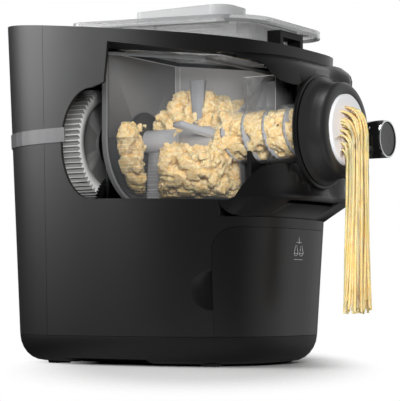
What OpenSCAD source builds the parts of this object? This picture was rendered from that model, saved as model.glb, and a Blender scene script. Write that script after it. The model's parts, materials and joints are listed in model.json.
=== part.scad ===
// Electric pasta maker: a housing with a cutaway side, a clear mixing chamber, a screw press and its drive.
// Millimetres. +X is the front, +Y the side away from the cutaway, +Z is up.
// Lengths along X are measured from the middle of the housing; placed() then centres the whole machine.

/* [Housing] */
// Housing length behind the middle, at the base seam
rear_half = 126; // [110:1:140]
// Housing length in front of the middle, at the base seam
front_half = 126; // [110:1:140]
// Half of the housing's width at the base seam
side_half = 95; // [85:1:105]
// Roundness of the plan outline: 2 is an ellipse, more is squarer
plan_power = 2.9; // [2.4:0.1:3.4]
// Outward lean of the rear wall, mm per mm of height
rear_lean = 0.048; // [0.02:0.002:0.07]
// Outward lean of the front wall
front_lean = 0.066; // [0.03:0.002:0.08]
// Outward lean of the side walls
side_lean = 0.033; // [0.01:0.001:0.05]
// Height of the rim at the middle of the housing
rim_z = 276; // [265:1:285]
// Fall of the rim towards the front, mm per mm
rim_fall = 0.125; // [0.08:0.005:0.16]
// Height of the seam between the base tray and the covers
seam_z = 24; // [20:1:30]
// Wall thickness of the covers
wall = 3; // [2.4:0.2:4]
// Corners of the plan outline
outline_n = 72; // [60:12:120]

/* [Press] */
// Height of the screw's axis
axis_z = 191; // [188:1:194]
// Inner radius of the mixing chamber
chamber_r = 52.2; // [51:0.2:53]
// Outside of the chamber's rear wall
chamber_rear = -29; // [-30:0.5:-28]
// Outside of the chamber's front wall
chamber_front = 74; // [72:1:76]
// Inner radius of the press tube
tube_r = 21.5; // [21:0.5:22]
// Front end of the press tube
tube_end = 165.5; // [164:0.5:166]
// Pitch of the screw
screw_pitch = 20; // [18:1:24]
// Radius of the shaping disc's face
disc_r = 29.3; // [28:0.1:29.5]
// Front of the shaping disc
disc_front = 176; // [175:0.5:177]
// Outer radius of the locking ring at its front
ring_r = 38.6; // [37:0.2:39]
// Front of the locking ring
ring_front = 174.5; // [173:0.5:175]
// Radius of the raised hoop around the locking ring
flange_r = 47.4; // [46.6:0.2:48]

/* [Drive] */
// Teeth of the drive gear
drive_teeth = 64; // [60:1:68]
// Module of the drive gear and the small idler gear
drive_module = 1.5; // [1.4:0.1:1.6]
// Teeth of the small idler gear
idler_teeth = 14; // [13:1:16]
// Teeth of the reduction wheel
wheel_teeth = 60; // [56:1:62]
// Teeth of the motor pinion
pinion_teeth = 12; // [12:1:14]
// Module of the reduction wheel and the motor pinion
motor_module = 1; // [0.9:0.1:1]
// Rear face of the drive gear
gear_rear = -80.5; // [-82:0.5:-79]
// Width of the drive gear's rim
gear_w = 20; // [18:1:21]
// Radius of the motor's can
motor_r = 28; // [25:1:29]

/* [Front] */
// Side seam of the front panel and the drawer
panel_seam = 101; // [99:1:103]
// Lower edge of the front panel
panel_low = 120; // [118:1:122]
// Upper edge of the front panel
panel_high = 249.5; // [248:0.5:251]
// Front of the panel at the screw's axis
panel_x = 150; // [149:0.5:151]
// Where the control fascia starts, across the machine
fascia_y = 46; // [45:1:47]
// Top of the drawer's front
drawer_top = 111.4; // [108:0.2:112]
// Side edge of the drawer's front
drawer_edge = 95.5; // [94:0.5:97]
// Radius of the control knob
knob_r = 14.4; // [13:0.2:15]
// Front of the control knob
knob_front = 181; // [178:0.5:183]

/* [Lid] */
// Rear end of the lid
lid_rear = -58; // [-60:1:-55]
// Front end of the lid
lid_front = 126; // [122:1:128]
// Half of the lid's width
lid_half = 70; // [66:1:72]
// Height of the lid's top at the middle of the housing
lid_z = 287; // [286:0.5:288]
// Fall of the lid towards the front
lid_fall = 0.04; // [0.03:0.005:0.05]
// Top of the raised inlet cover
inlet_top = 300; // [298:0.5:302]

/* [Hidden] */
$fn = 64;
eps = 0.01;

top_of_all = 330;
far_out = 260;
gap = 0.3;
tray_bottom = 2;
tray_round_in = 17;
tray_round_up = seam_z - tray_bottom;
foot_places = [[-72, -58], [-72, 58], [80, -56], [80, 56]];
floor_low = 22;
floor_high = 25;
band_low = 184.2;
band_high = 196.2;
band_end = -36;

pressure_angle = 25;
backlash = 0.16;
idler_drop = drive_module * (drive_teeth + idler_teeth) / 2;
idler_z = axis_z - idler_drop;
motor_z = idler_z - motor_module * (wheel_teeth + pinion_teeth) / 2;
gear_front = gear_rear + gear_w;
wheel_rear = -56.5;
wheel_w = 6;
bulkhead_rear = -47;
bulkhead_front = -44;
plate_rear = -94;
plate_front = -90;
shaft_r = 6;
idler_shaft_r = 4;
bearing_r = 11;
neck_r = 20.5;
neck_rear = gear_front + 1.5;

// Five rows of pasta strands: each bends out of the disc and hangs in front of the row below it
strand_rows = 5;
strand_r = 1.5;
strand_pitch = 2.6;
strand_low = 42;
first_bend = 3.2;
function row_z(row) = axis_z - 19 + 7.4 * row;
function row_bend(row) = first_bend + 2.6 * row;
function row_count(row) = row == 0 || row == strand_rows - 1 ? 8 : 10;

// Plan outline of the housing
function rear_len(z) = rear_half + rear_lean * (z - seam_z);
function front_len(z) = front_half + front_lean * (z - seam_z);
function side_len(z) = side_half + side_lean * (z - seam_z);

// A point of the outline at angle t and height z, drawn in by inset
function outline_point(t, z, inset) =
    let (a = (cos(t) > 0 ? front_len(z) : rear_len(z)) - inset, b = side_len(z) - inset)
    let (r = pow(pow(abs(cos(t)) / a, plan_power) + pow(abs(sin(t)) / b, plan_power), -1 / plan_power))
    [r * cos(t), r * sin(t), z];

function rim_height(x) = rim_z - rim_fall * x;
function ring(z, inset) = [for (i = [0:outline_n - 1]) outline_point(360 * i / outline_n, z, inset)];

function lifted(points, z) = [for (p = points) [p[0], p[1], z]];

// The outline where it meets the sloping rim, drop below it
function rim_ring(drop, inset) = [for (i = [0:outline_n - 1])
    let (t = 360 * i / outline_n, first = outline_point(t, rim_z, inset))
    let (p = outline_point(t, rim_height(first[0]) - drop, inset))
    [p[0], p[1], rim_height(p[0]) - drop]];

// Middle of the overall box along X, between the rim at the back and the strands, is the part's origin
rear_reach = rear_len(rim_height(-rear_len(rim_z)));
strand_reach = disc_front + row_bend(strand_rows - 1) + strand_r;
overall_x = (strand_reach - rear_reach) / 2;

panel_n = 20;
panel_half_angle = 56;

// The front panel's outline: the housing's, drawn forward to front_x, and fuller on the far side
function panel_point(t, z, inset, front_x) =
    let (p = outline_point(t, z, inset))
    let (reach = (front_x - inset - panel_seam) / (front_len(z) - inset - panel_seam))
    let (fuller = 1 + 0.25 * max(0, min(1, (p[1] - 20) / 30)))
    p[0] > panel_seam ? [panel_seam + (p[0] - panel_seam) * max(1, reach * fuller), p[1], z] : p;
function panel_ring(z, inset, front_x) =
    [for (i = [-panel_n:panel_n]) panel_point(panel_half_angle * i / panel_n, z, inset, front_x)];
function panel_front(z) = panel_x + 0.055 * (z - axis_z);

// A closed solid through a stack of rings with the same number of points
module loft(rings) {
    n = len(rings[0]);
    m = len(rings);
    sides = [for (k = [0:m - 2], i = [0:n - 1])
        let (j = (i + 1) % n, a = k * n + i, b = k * n + j)
        each [[a, a + n, b + n], [a, b + n, b]]];
    polyhedron(
        points = [for (r = rings) each r],
        faces = concat([[for (i = [0:n - 1]) i]], sides, [[for (i = [n - 1:-1:0]) (m - 1) * n + i]]));
}

module placed() {
    translate([-overall_x, 0, 0]) children();
}

// Helpers

// Extrudes a drawing of Y across and Z up along X
module along_x(x0, x1) {
    translate([x0, 0, 0]) rotate([90, 0, 90]) linear_extrude(x1 - x0) children();
}

// Extrudes a drawing of X across and Z up along Y
module along_y(y0, y1) {
    translate([0, y1, 0]) rotate([90, 0, 0]) linear_extrude(y1 - y0) children();
}

module rod(x0, x1, r, y = 0, z = axis_z) {
    translate([x0, y, z]) rotate([0, 90, 0]) cylinder(h = x1 - x0, r = r);
}

module tube(x0, x1, r_out, r_in, y = 0, z = axis_z) {
    difference() {
        rod(x0, x1, r_out, y, z);
        rod(x0 - 1, x1 + 1, r_in, y, z);
    }
}

// A turned piece about the screw's axis: the drawing's X is the radius and its Y runs forward
module turned(y = 0, z = axis_z) {
    translate([0, y, z]) rotate([0, 90, 0]) rotate_extrude() children();
}

module block(x, y, z) {
    translate([x[0], y[0], z[0]]) cube([x[1] - x[0], y[1] - y[0], z[1] - z[0]]);
}

// A rectangle with round corners, r0 at its low-X end and r1 at its high-X end
module round_plate(x, y, r0, r1) {
    translate([x[0] + r0, y[0]]) square([x[1] - r1 - x[0] - r0, y[1] - y[0]]);
    translate([x[0], y[0] + r0]) square([r0 + eps, y[1] - y[0] - 2 * r0]);
    translate([x[1] - r1 - eps, y[0] + r1]) square([r1 + eps, y[1] - y[0] - 2 * r1]);
    for (s = [y[0] + r0, y[1] - r0]) translate([x[0] + r0, s]) circle(r = r0);
    for (s = [y[0] + r1, y[1] - r1]) translate([x[1] - r1, s]) circle(r = r1);
}

// Everything above a plane that falls towards the front
module above(z_at_middle, fall) {
    translate([0, 0, z_at_middle]) rotate([0, atan(fall), 0])
        translate([-far_out, -far_out, 0]) cube([2 * far_out, 2 * far_out, far_out]);
}

// Spur gears

function involute(a) = tan(a) - a * PI / 180;

// Half of a tooth's angle at radius r
function tooth_half(teeth, m, r) =
    let (pitch_r = m * teeth / 2, base_r = pitch_r * cos(pressure_angle))
    let (a = r > base_r ? acos(base_r / r) : 0)
    90 / teeth - 90 * backlash / (PI * pitch_r) + (involute(pressure_angle) - involute(a)) * 180 / PI;

function gear_outline(teeth, m, turn) =
    let (pitch_r = m * teeth / 2, tip_r = pitch_r + 0.9 * m, root_r = pitch_r - 1.2 * m)
    let (flank = [root_r, max(root_r, pitch_r * cos(pressure_angle)), pitch_r, tip_r])
    [for (i = [0:teeth - 1], k = [0:7])
        let (side = k < 4 ? -1 : 1, r = k < 4 ? flank[k] : flank[7 - k])
        let (t = 360 * i / teeth + turn + side * tooth_half(teeth, m, r))
        [r * cos(t), r * sin(t)]];

module spur_gear(x0, x1, teeth, m, bore, z, turn = 0) {
    translate([0, 0, z]) along_x(x0, x1) difference() {
        polygon(gear_outline(teeth, m, turn));
        circle(r = bore);
    }
}

// Housing

module housing_solid(inset, low, drop) {
    loft([ring(low, inset), rim_ring(drop, inset)]);
}

module housing_shell(low) {
    difference() {
        housing_solid(0, low, 0);
        housing_solid(wall, low - 1, -1);
    }
}

function tray_inset(t) = tray_round_in * (1 - sin(t));
function tray_height(t) = seam_z - tray_round_up * cos(t);

module base_tray() {
    tray_steps = 6;
    notch_x = [-41, 36];
    notch_z = 5.4;
    color("#26272a") placed() difference() {
        loft([for (k = [0:tray_steps]) let (t = 90 * k / tray_steps) ring(tray_height(t), tray_inset(t))]);
        loft([ring(10.4, 12), ring(17, 6), lifted(ring(17, 6), seam_z + 1)]);
        // Hand notches under both sides
        for (s = [-1, 1]) along_y(s > 0 ? 66 : -far_out / 2, s > 0 ? far_out / 2 : -66)
            polygon([[notch_x[0] - 2, 0], [notch_x[0], notch_z], [notch_x[1], notch_z], [notch_x[1] + 2, 0]]);
        // Air slots under the motor
        for (k = [0:6]) block([-62 + 7 * k, -59 + 7 * k], [-22, 22], [0, 12]);
        for (p = foot_places) translate([p[0], p[1], -1]) {
            cylinder(h = 20, r = 1.7);
            cylinder(h = 3.7, r = 2.4);
        }
    }
}

module rubber_feet() {
    color("#1a1a1b") placed() for (p = foot_places) translate([p[0], p[1], 0]) rotate_extrude()
        polygon([[2.6, 0.8], [6.5, 0], [9, 0], [9.8, 0.8], [9.8, tray_bottom], [2.6, tray_bottom]]);
}

// Strain-gauge bars that carry the main frame on the feet
module load_cells() {
    color("#b9bcc0") placed() for (p = foot_places) difference() {
        translate([p[0] - 13, p[1] - 6, 10.4]) cube([26, 12, 8.6]);
        for (s = [-1, 1]) translate([p[0] + 4 * s, p[1] - 7, 14.5]) rotate([-90, 0, 0])
            cylinder(h = 14, r = 2.6);
        translate([p[0] - 4, p[1] - 7, 13.3]) cube([8, 14, 2.4]);
    }
}

module main_frame() {
    base_half = 76;
    tower_half = 26;
    color("#4a4d50") placed() {
        difference() {
            translate([0, 0, floor_low]) linear_extrude(floor_high - floor_low)
                round_plate([-104, 92], [-72, 72], 34, 34);
            for (k = [0:4]) block([-34 + 9 * k, -30 + 9 * k], [-40, 40], [floor_low - 1, floor_high + 1]);
        }
        for (p = foot_places) translate([p[0] * 0.97, p[1], 19]) cylinder(h = 4, r = 6);
        difference() {
            along_x(bulkhead_rear, bulkhead_front) {
                translate([-base_half, floor_high - eps]) square([2 * base_half, 104]);
                translate([-tower_half, floor_high]) square([2 * tower_half, axis_z - floor_high]);
                translate([0, axis_z]) circle(r = tower_half);
            }
            rod(bulkhead_rear - 1, bulkhead_front + 1, neck_r, 0, axis_z);
            rod(bulkhead_rear - 1, bulkhead_front + 1, 8, 0, idler_z);
            rod(bulkhead_rear - 1, bulkhead_front + 1, 12, 0, motor_z);
            for (s = [-1, 1]) {
                rod(bulkhead_rear - 1, bulkhead_front + 1, 14, 52 * s, 78);
                rod(bulkhead_rear - 1, bulkhead_front + 1, 2.2, 33 * s, motor_z);
            }
        }
        // Gussets between the floor and the bulkhead
        for (s = [-1, 1]) along_y(s * 62 - 1.5, s * 62 + 1.5)
            polygon([[bulkhead_front - eps, floor_high - eps], [4, floor_high - eps],
                [bulkhead_front - eps, 92]]);
    }
}

module rear_cover() {
    slot_pitch = 8;
    color("#303236") placed() difference() {
        intersection() {
            housing_shell(seam_z + gap);
            block([-far_out, -60 - gap / 2], [-far_out, far_out], [0, top_of_all]);
        }
        // Air slots and the opening for the power inlet
        for (k = [-4:4]) translate([-far_out, k * slot_pitch, 0]) along_x(0, far_out - 100) {
            translate([-1.8, 62]) square([3.6, 40]);
            for (z = [62, 102]) translate([0, z]) circle(r = 1.8);
        }
        block([-far_out, -100], [30, 54], [36, 54]);
    }
}

// Outline of the cutaway in the side cover: a lobe around the drive gear, then the chamber's outline
module side_window() {
    lobe_x = -8;
    lobe_z = 181.5;
    lobe_half = 32.8;
    intersection() {
        translate([lobe_x, lobe_z]) scale([lobe_half / 46, 1]) circle(r = 46);
        translate([lobe_x - 60, lobe_z - 60]) square([76, 120]);
    }
    polygon([[-8, 136.3], [8, 256.8], [9, 264], [panel_seam + 8, 247.2], [panel_seam + 8, 132.8]]);
    polygon([[-8, 136], [8, 136], [8, 232], [-8, 227.4]]);
}

module side_cover(window) {
    scoop_x = drawer_edge;
    scoop_z = 61;
    scoop_r = 16;
    scoop_floor = 76;
    side = window ? -1 : 1;
    difference() {
        intersection() {
            housing_solid(0, seam_z + gap, 0);
            block([-60 + gap / 2, panel_seam], side < 0 ? [-far_out, -20] : [20, far_out], [0, top_of_all]);
        }
        difference() {
            housing_solid(wall, seam_z - 1, -1);
            // Pocket behind the finger scoop
            along_y(side < 0 ? -far_out : scoop_floor - 2.6, side < 0 ? 2.6 - scoop_floor : far_out)
                translate([scoop_x, scoop_z]) circle(r = scoop_r + 2.6);
        }
        // Finger scoop beside the drawer
        along_y(side < 0 ? -far_out : scoop_floor, side < 0 ? -scoop_floor : far_out)
            translate([scoop_x, scoop_z]) circle(r = scoop_r);
        // Room for the drawer's front
        along_y(side < 0 ? -far_out : 20, side < 0 ? -20 : far_out) drawer_outline(gap);
        if (window) along_y(-far_out, -20) side_window();
    }
}

module side_cover_near() {
    color("#2f3135") placed() side_cover(true);
}

module side_cover_far() {
    color("#2f3135") placed() side_cover(false);
}

// Satin band on the covers, from the cutaway round the back to the front panel
module trim_band() {
    color("#9a9ca0") placed() intersection() {
        difference() {
            loft([ring(band_low, -0.9), ring(band_high, -0.9)]);
            loft([ring(band_low - 1, -0.05), ring(band_high + 1, -0.05)]);
        }
        union() {
            block([-far_out, band_end], [-far_out, far_out], [band_low, band_high]);
            block([band_end - 1, panel_seam - 1], [0, far_out], [band_low, band_high]);
        }
    }
}

module top_deck() {
    well_x = [-27, 110.5];
    well_y = [-51, 51];
    lip = 2.5;
    color("#2a2b2e") placed() difference() {
        union() {
            loft([rim_ring(6, wall + 0.8), rim_ring(3, wall + 0.8)]);
            intersection() {
                translate([0, 0, 200]) linear_extrude(90) difference() {
                    round_plate(well_x + [-lip, lip], well_y + [-lip, lip], 6, 12);
                    round_plate(well_x, well_y, 4, 10);
                }
                difference() {
                    above(rim_z - 12, rim_fall);
                    above(rim_z - 3.5, rim_fall);
                }
            }
        }
        translate([0, 0, 200]) linear_extrude(90) round_plate(well_x, well_y, 4, 10);
    }
}

// Drawing of the drawer's front seen from the side
module drawer_outline(grow) {
    corner = 19;
    translate([drawer_edge - grow, seam_z - 2]) square([far_out, drawer_top + grow - corner - seam_z + 2]);
    translate([drawer_edge - grow + corner, seam_z]) square([far_out, drawer_top + grow - seam_z]);
    translate([drawer_edge - grow + corner, drawer_top + grow - corner]) circle(r = corner);
}

module front_frame() {
    joint_x = panel_seam;
    bay_floor = [drawer_top + 1.5, panel_low - gap - 2];
    color("#2b2c30") placed() difference() {
        union() {
            // Strip between the drawer and the front panel, then the rim above the panel
            difference() {
                intersection() {
                    housing_solid(0, seam_z, 0);
                    union() {
                        block([joint_x, far_out], [-far_out, far_out], [drawer_top - 22, panel_low - gap]);
                        block([joint_x, far_out], [-far_out, far_out], [panel_high + gap, top_of_all]);
                    }
                }
                housing_solid(wall + 0.5, seam_z - 1, -1);
            }
            // Cradle wall under the press tube, the bay's floor and the posts beside the bay
            intersection() {
                housing_solid(wall + gap, seam_z, 6.5);
                union() {
                    block([92, 96], [-far_out, far_out], [floor_high, 146]);
                    block([92, 96], [-27, 27], [140, axis_z]);
                    block([92, far_out], [-far_out, far_out], bay_floor);
                    block([92, 96], [fascia_y + 8, far_out], [140, top_of_all]);
                    block([92, 96], [-far_out, -78], [140, top_of_all]);
                    block([92, joint_x + 3], [-far_out, far_out], [panel_high + 3, panel_high + 6]);
                }
            }
        }
        rod(80, 110, tube_r + 3.2);
        block([80, 130], [-58, 58], [240, top_of_all]);
        // The drawer's way through the cradle wall
        block([80, 110], [-73.5, 73.5], [0, 108]);
        block([80, 110], [-far_out, far_out], [0, 84]);
        along_y(-far_out, far_out) drawer_outline(gap);
    }
}

module lid_catch() {
    color("#17181a") placed() intersection() {
        difference() {
            block([111, 123.5], [-19, 19], [240, 275]);
            block([110, 124.5], [-14.5, 14.5], [230, 269.5]);
        }
        above(rim_z - 3, rim_fall);
    }
}

// Base and electrics

module drawer_rails() {
    color("#8e9195") placed() for (s = [-1, 1]) difference() {
        translate([26, s > 0 ? 70.5 : -76.5, floor_high]) cube([62, 6, 18]);
        translate([25, s > 0 ? 70.4 : -73.6, 36]) cube([64, 3.2, 3.4]);
    }
}

module gearbox_plate() {
    color("#8b8e92") placed() difference() {
        along_x(plate_rear, plate_front) {
            translate([-44, floor_high]) square([88, 40]);
            polygon([[-44, floor_high + 39], [44, floor_high + 39], [20, axis_z], [-20, axis_z]]);
            translate([0, axis_z]) circle(r = 20);
        }
        rod(plate_rear - 1, plate_front + 1, bearing_r);
        rod(plate_rear - 1, plate_front + 1, 8, 0, idler_z);
        for (s = [-1, 1], z = [70, 112]) rod(plate_rear - 1, plate_front + 1, 1.6, 26 * s, z);
    }
}

// Bearing housing with the round bulkhead that the chamber sits against
module drive_housing() {
    disc_rear = chamber_rear - 4.5;
    color("#232427") placed() difference() {
        union() {
            rod(neck_rear, disc_rear + eps, neck_r);
            turned() polygon([[0, disc_rear], [45, disc_rear], [46, disc_rear + 1], [46, disc_rear + 3],
                [45, disc_rear + 4.2], [0, disc_rear + 4.2]]);
        }
        rod(neck_rear - 1, chamber_rear + 1, shaft_r + 2);
        rod(neck_rear - 1, neck_rear + 8, bearing_r);
        rod(disc_rear - 4, chamber_rear + 1, bearing_r);
    }
}

module ball_bearing(x0, w, r_in, r_out, z) {
    groove = (r_out - r_in) / 3;
    difference() {
        tube(x0, x0 + w, r_out, r_in, 0, z);
        for (x = [x0 - 1, x0 + w - 0.8])
            tube(x, x + 1.8, r_out - groove, r_in + groove, 0, z);
    }
}

module shaft_bearings() {
    color("#b7babd") placed() {
        ball_bearing(plate_rear, 6, shaft_r + 0.05, bearing_r, axis_z);
        ball_bearing(neck_rear, 7.5, shaft_r + 0.05, bearing_r, axis_z);
        ball_bearing(chamber_rear - 8, 7, shaft_r + 0.05, bearing_r, axis_z);
    }
}

module idler_bearings() {
    color("#b7babd") placed() {
        ball_bearing(plate_rear, 5, idler_shaft_r + 0.05, 8, idler_z);
        ball_bearing(bulkhead_rear - 1, 5, idler_shaft_r + 0.05, 8, idler_z);
    }
}

module motor_housing() {
    can_rear = bulkhead_front;
    can_front = 8;
    color("#777a7e") placed() difference() {
        union() {
            rod(can_rear, can_front, motor_r, 0, motor_z);
            rod(can_rear - 5, can_rear + eps, 12, 0, motor_z);
            block([can_rear, can_rear + 4], [-38, 38], [motor_z - 8, motor_z + 8]);
        }
        rod(can_rear + 4, can_front - 3, motor_r - 2.5, 0, motor_z);
        rod(can_rear - 6, can_front + 1, 3.06, 0, motor_z);
        for (k = [0:7]) translate([0, 0, motor_z]) rotate([45 * k, 0, 0])
            block([can_front - 4, can_front + 1], [-3, 3], [12, 21]);
        for (s = [-1, 1]) rod(can_rear - 1, can_rear + 5, 2.2, 33 * s, motor_z);
    }
}

module power_board() {
    board_x = [-112, -110.4];
    color("#2f5a3d") placed() {
        block(board_x, [-42, 42], [62, 128]);
        for (s = [-1, 1], z = [70, 112]) rod(board_x[1] - eps, plate_rear, 3.4, 26 * s, z);
        block([-119, board_x[0] + eps], [-30, 2], [64, 86]);
        for (k = [0:2]) rod(-119, board_x[0] + eps, 5, -26 + 14 * k, 104);
        block([-116, board_x[0] + eps], [14, 34], [90, 116]);
    }
}

module power_inlet() {
    color("#1d1d1f") placed() difference() {
        intersection() {
            housing_solid(0.6, seam_z, 0);
            union() {
                block([-far_out, -108], [30 + gap, 54 - gap], [36 + gap, 54 - gap]);
                block([-110.5, -108], [26, 58], [32, 58]);
            }
        }
        block([-far_out, -112], [33, 51], [39, 51]);
    }
}

module control_board() {
    color("#2f5a3d") placed() difference() {
        union() {
            block([106, 107.6], [54, 71], [140, 236]);
            block([107.6 - eps, 116], [55, 69], [axis_z - 10, axis_z + 6]);
            block([100, 106 + eps], [56, 69], [150, 170]);
            for (z = [146, 228]) rod(96, 106 + eps, 3, 60, z);
        }
        rod(104, 118, 3.2, 62, knob_z);
    }
}

// Front panel and control fascia

// Levels of the front panel, with the grip lip near its foot: height, and place behind the full front
lip_levels = [[134.5, -6.4], [136.6, -6.8], [138.2, -4.5], [146, -1], [154, 0.4], [237, 0.4], [241.5, 2]];
foot_levels = [[panel_low, 19], [panel_low + 1.5, 16]];
panel_levels = concat(foot_levels, lip_levels, [[244.5, 4.8], [panel_high, 11.6]]);
inner_levels = concat([[panel_low + wall, 13.6]], lip_levels, [[panel_high - wall, 7.5]]);

module panel_solid(inset, levels = panel_levels) {
    loft([for (level = levels) panel_ring(level[0], inset, panel_front(level[0]) - level[1])]);
}

// The panel's skin between two places across the machine, closed where it meets its neighbour
module panel_part(y, inner_y) {
    difference() {
        intersection() {
            panel_solid(0);
            block([panel_seam + gap, far_out], y, [0, top_of_all]);
        }
        intersection() {
            panel_solid(wall, inner_levels);
            block([0, far_out], inner_y, [0, top_of_all]);
        }
    }
}

// Side view of the panel: its round rear corners
module panel_outline() {
    low_r = 15;
    high_r = 7;
    rear = panel_seam + gap;
    translate([rear, panel_low + low_r]) square([far_out, panel_high - panel_low - low_r - high_r]);
    translate([rear + low_r, panel_low - 1]) square([far_out, panel_high - panel_low + 2]);
    translate([rear + low_r, panel_low + low_r]) circle(r = low_r);
    translate([rear + high_r, panel_high - high_r]) circle(r = high_r);
}

// Side view of the cutaway in the near side of the panel, which ends at the hoop
module panel_window() {
    polygon([[panel_seam - 5, 132.6], [108, 132.6], [113, 135], [118.7, 145.2], [124.5, 153], [130.6, 159.2],
        [138, 162.2], [144, 163.2], [146, 165.4], [180, 165.4], [180, 226], [146, 226.2], [142, 228.3],
        [138.5, 232.5], [135.3, 238], [132, 242], [126, 243.9], [119.7, 244.7], [panel_seam - 5, 250]]);
}

hoop_rear = panel_x;
hoop_front = panel_x + 3;
hoop_in = 43.7;

// Dish in front of the hoop, where the far side stands prouder than it
module hoop_room() {
    turned() polygon([[0, hoop_front], [flange_r, hoop_front], [flange_r + 9, hoop_front + 9],
        [0, hoop_front + 9]]);
}

module front_panel() {
    edge = 2;
    color("#2b2c30") placed() difference() {
        union() {
            difference() {
                intersection() {
                    panel_part([-far_out, fascia_y - gap], [-far_out, fascia_y - gap - 2.5]);
                    along_y(-far_out, far_out) panel_outline();
                }
                along_y(-far_out, -12) panel_window();
            }
            // Hoop with its rounded edge, and the wall that joins it to the skin below and on the far side
            turned() polygon(concat([[hoop_in, hoop_rear], [flange_r, hoop_rear]],
                [for (t = [0:18:90]) [flange_r - edge + edge * cos(t), hoop_front - edge + edge * sin(t)]],
                [[hoop_in, hoop_front]]));
            intersection() {
                tube(140, hoop_rear + eps, flange_r, hoop_in);
                union() {
                    block([140, 160], [-60, 60], [130, 163]);
                    block([140, 160], [0, fascia_y - gap], [130, axis_z + 60]);
                }
            }
        }
        rod(125, 180, hoop_in);
        hoop_room();
        // Grip slot and the scooped recess under it
        block([141, far_out], [-42, 26], [130.8, 133.2]);
        translate([156, -44, 125.4]) rotate([-90, 0, 0]) cylinder(h = 68, r = 9);
    }
}

// Ring-shaped plate in the hoop, with the spigot that the locking ring turns on
module disc_holder() {
    bore_r = tube_r + 3;
    rim_r = hoop_in - 0.05;
    face = hoop_front - 0.6;
    color("#232427") placed() turned() polygon([[bore_r, hoop_rear], [rim_r, hoop_rear], [rim_r, face],
        [spigot_r, face], [spigot_r, tube_end], [bore_r, tube_end]]);
}

spigot_r = 33.1;

knob_y = 62;
display_x = 128;
knob_z = 188.5;
boss_end = 160;

module control_fascia() {
    color("#141416") placed() difference() {
        union() {
            panel_part([fascia_y, far_out], [fascia_y + 2.5, far_out]);
            rod(126, boss_end, knob_r - 0.4, knob_y, knob_z);
        }
        rod(100, boss_end - 3, knob_r - 3.4, knob_y, knob_z);
        rod(100, boss_end + 1, 3.2, knob_y, knob_z);
        display_recess(0);
        rod(140, far_out, flange_r + gap);
        hoop_room();
    }
}

module display_recess(shrink) {
    along_x(120, far_out) round_plate([53 + shrink, 71 - shrink], [208 + shrink, 234 - shrink], 2, 2);
}

module display_window() {
    color("#08090a") placed() intersection() {
        panel_solid(0.8);
        block([display_x, far_out], [0, far_out], [0, top_of_all]);
        display_recess(gap / 2);
    }
}

module knob_stem() {
    color("#8f9296") placed() {
        rod(109, 176, 3, knob_y, knob_z);
        rod(126, 128, 6, knob_y, knob_z);
    }
}

module control_knob() {
    color("#101012") placed() difference() {
        turned(knob_y, knob_z) polygon([[0, boss_end + 2.5], [knob_r - 0.8, boss_end + 2.5],
            [knob_r, boss_end + 3.3], [knob_r, knob_front - 1.6], [knob_r - 1.4, knob_front - 1.6],
            [knob_r - 1.4, knob_front - 0.8], [0, knob_front - 1.2]]);
        rod(boss_end, 176.05, 3.05, knob_y, knob_z);
    }
}

module knob_trim() {
    color("#d6d8da") placed() turned(knob_y, knob_z) polygon([[knob_r - 1.4, knob_front - 1.6],
        [knob_r, knob_front - 1.6], [knob_r, knob_front - 0.4], [knob_r - 0.4, knob_front],
        [knob_r - 1.4, knob_front]]);
}

// Chamber and press

// Cross-section of the mixing chamber: a round trough with straight walls above
module trough(r, top) {
    translate([0, axis_z]) circle(r = r);
    translate([-r, axis_z]) square([2 * r, top - axis_z]);
}

module mixing_chamber() {
    skin = 2.5;
    chamber_z = 261;
    color([0.85, 0.88, 0.9, 0.35]) placed() difference() {
        union() {
            along_x(chamber_rear, chamber_front) trough(chamber_r + skin, 290);
            along_x(chamber_rear, chamber_rear + 4) trough(chamber_r + 5, 290);
            rod(chamber_front - 1, tube_end, tube_r + 2.5);
            // Rib box over the tube
            block([88, 118], [-18, 18], [axis_z + 10, 238]);
            // Lip along the top
            intersection() {
                translate([0, 0, 200]) linear_extrude(90) square([300, 2 * (chamber_r + 5)], center = true);
                block([chamber_rear, chamber_front], [-90, 90], [200, 290]);
                above(chamber_z - 3, rim_fall);
            }
        }
        along_x(chamber_rear + 3, chamber_front - 3) trough(chamber_r, 300);
        above(chamber_z, rim_fall);
        rod(chamber_front - 10, tube_end + 1, tube_r);
        rod(chamber_rear - 1, chamber_rear + 5, 14);
        difference() {
            block([89.8, 116.2], [-16.2, 16.2], [axis_z, 240]);
            rod(chamber_front, tube_end, tube_r + 2.5);
        }
    }
}

module chamber_seal() {
    seat = chamber_rear + 3;
    color("#2a2a2c") placed() turned() polygon([[12.6, chamber_rear + 0.2], [13.9, chamber_rear + 0.2],
        [13.9, seat], [17, seat], [17, seat + 1.4], [12.6, seat + 1.4]]);
}

module drive_gear() {
    rim_in = 39;
    web = [gear_rear + 7, gear_front - 7];
    hub_r = 12;
    color("#c3c6c9") placed() {
        spur_gear(gear_rear, gear_front, drive_teeth, drive_module, rim_in, axis_z);
        // Dished web with four drain notches beside the rim
        difference() {
            turned() polygon([[shaft_r, gear_rear + 2], [hub_r, gear_rear + 2], [hub_r + 1, web[0]],
                [rim_in - 2, web[0]], [rim_in + eps, gear_rear + 2], [rim_in + eps, gear_front - 1.5],
                [rim_in - 4, web[1]], [hub_r + 1, web[1]], [hub_r, gear_front - 2],
                [shaft_r, gear_front - 2]]);
            for (k = [0:3]) translate([0, 0, axis_z]) rotate([90 * k + 40, 0, 0])
                block([web[1] - 2, gear_front], [-3, 3], [34, 38]);
        }
    }
}

module drive_shaft() {
    color("#a9adb1") placed() {
        rod(plate_rear - 1, chamber_rear - 0.5, shaft_r);
        along_x(chamber_rear - 0.5 - eps, 4) translate([0, axis_z]) square(9, center = true);
    }
}

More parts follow.
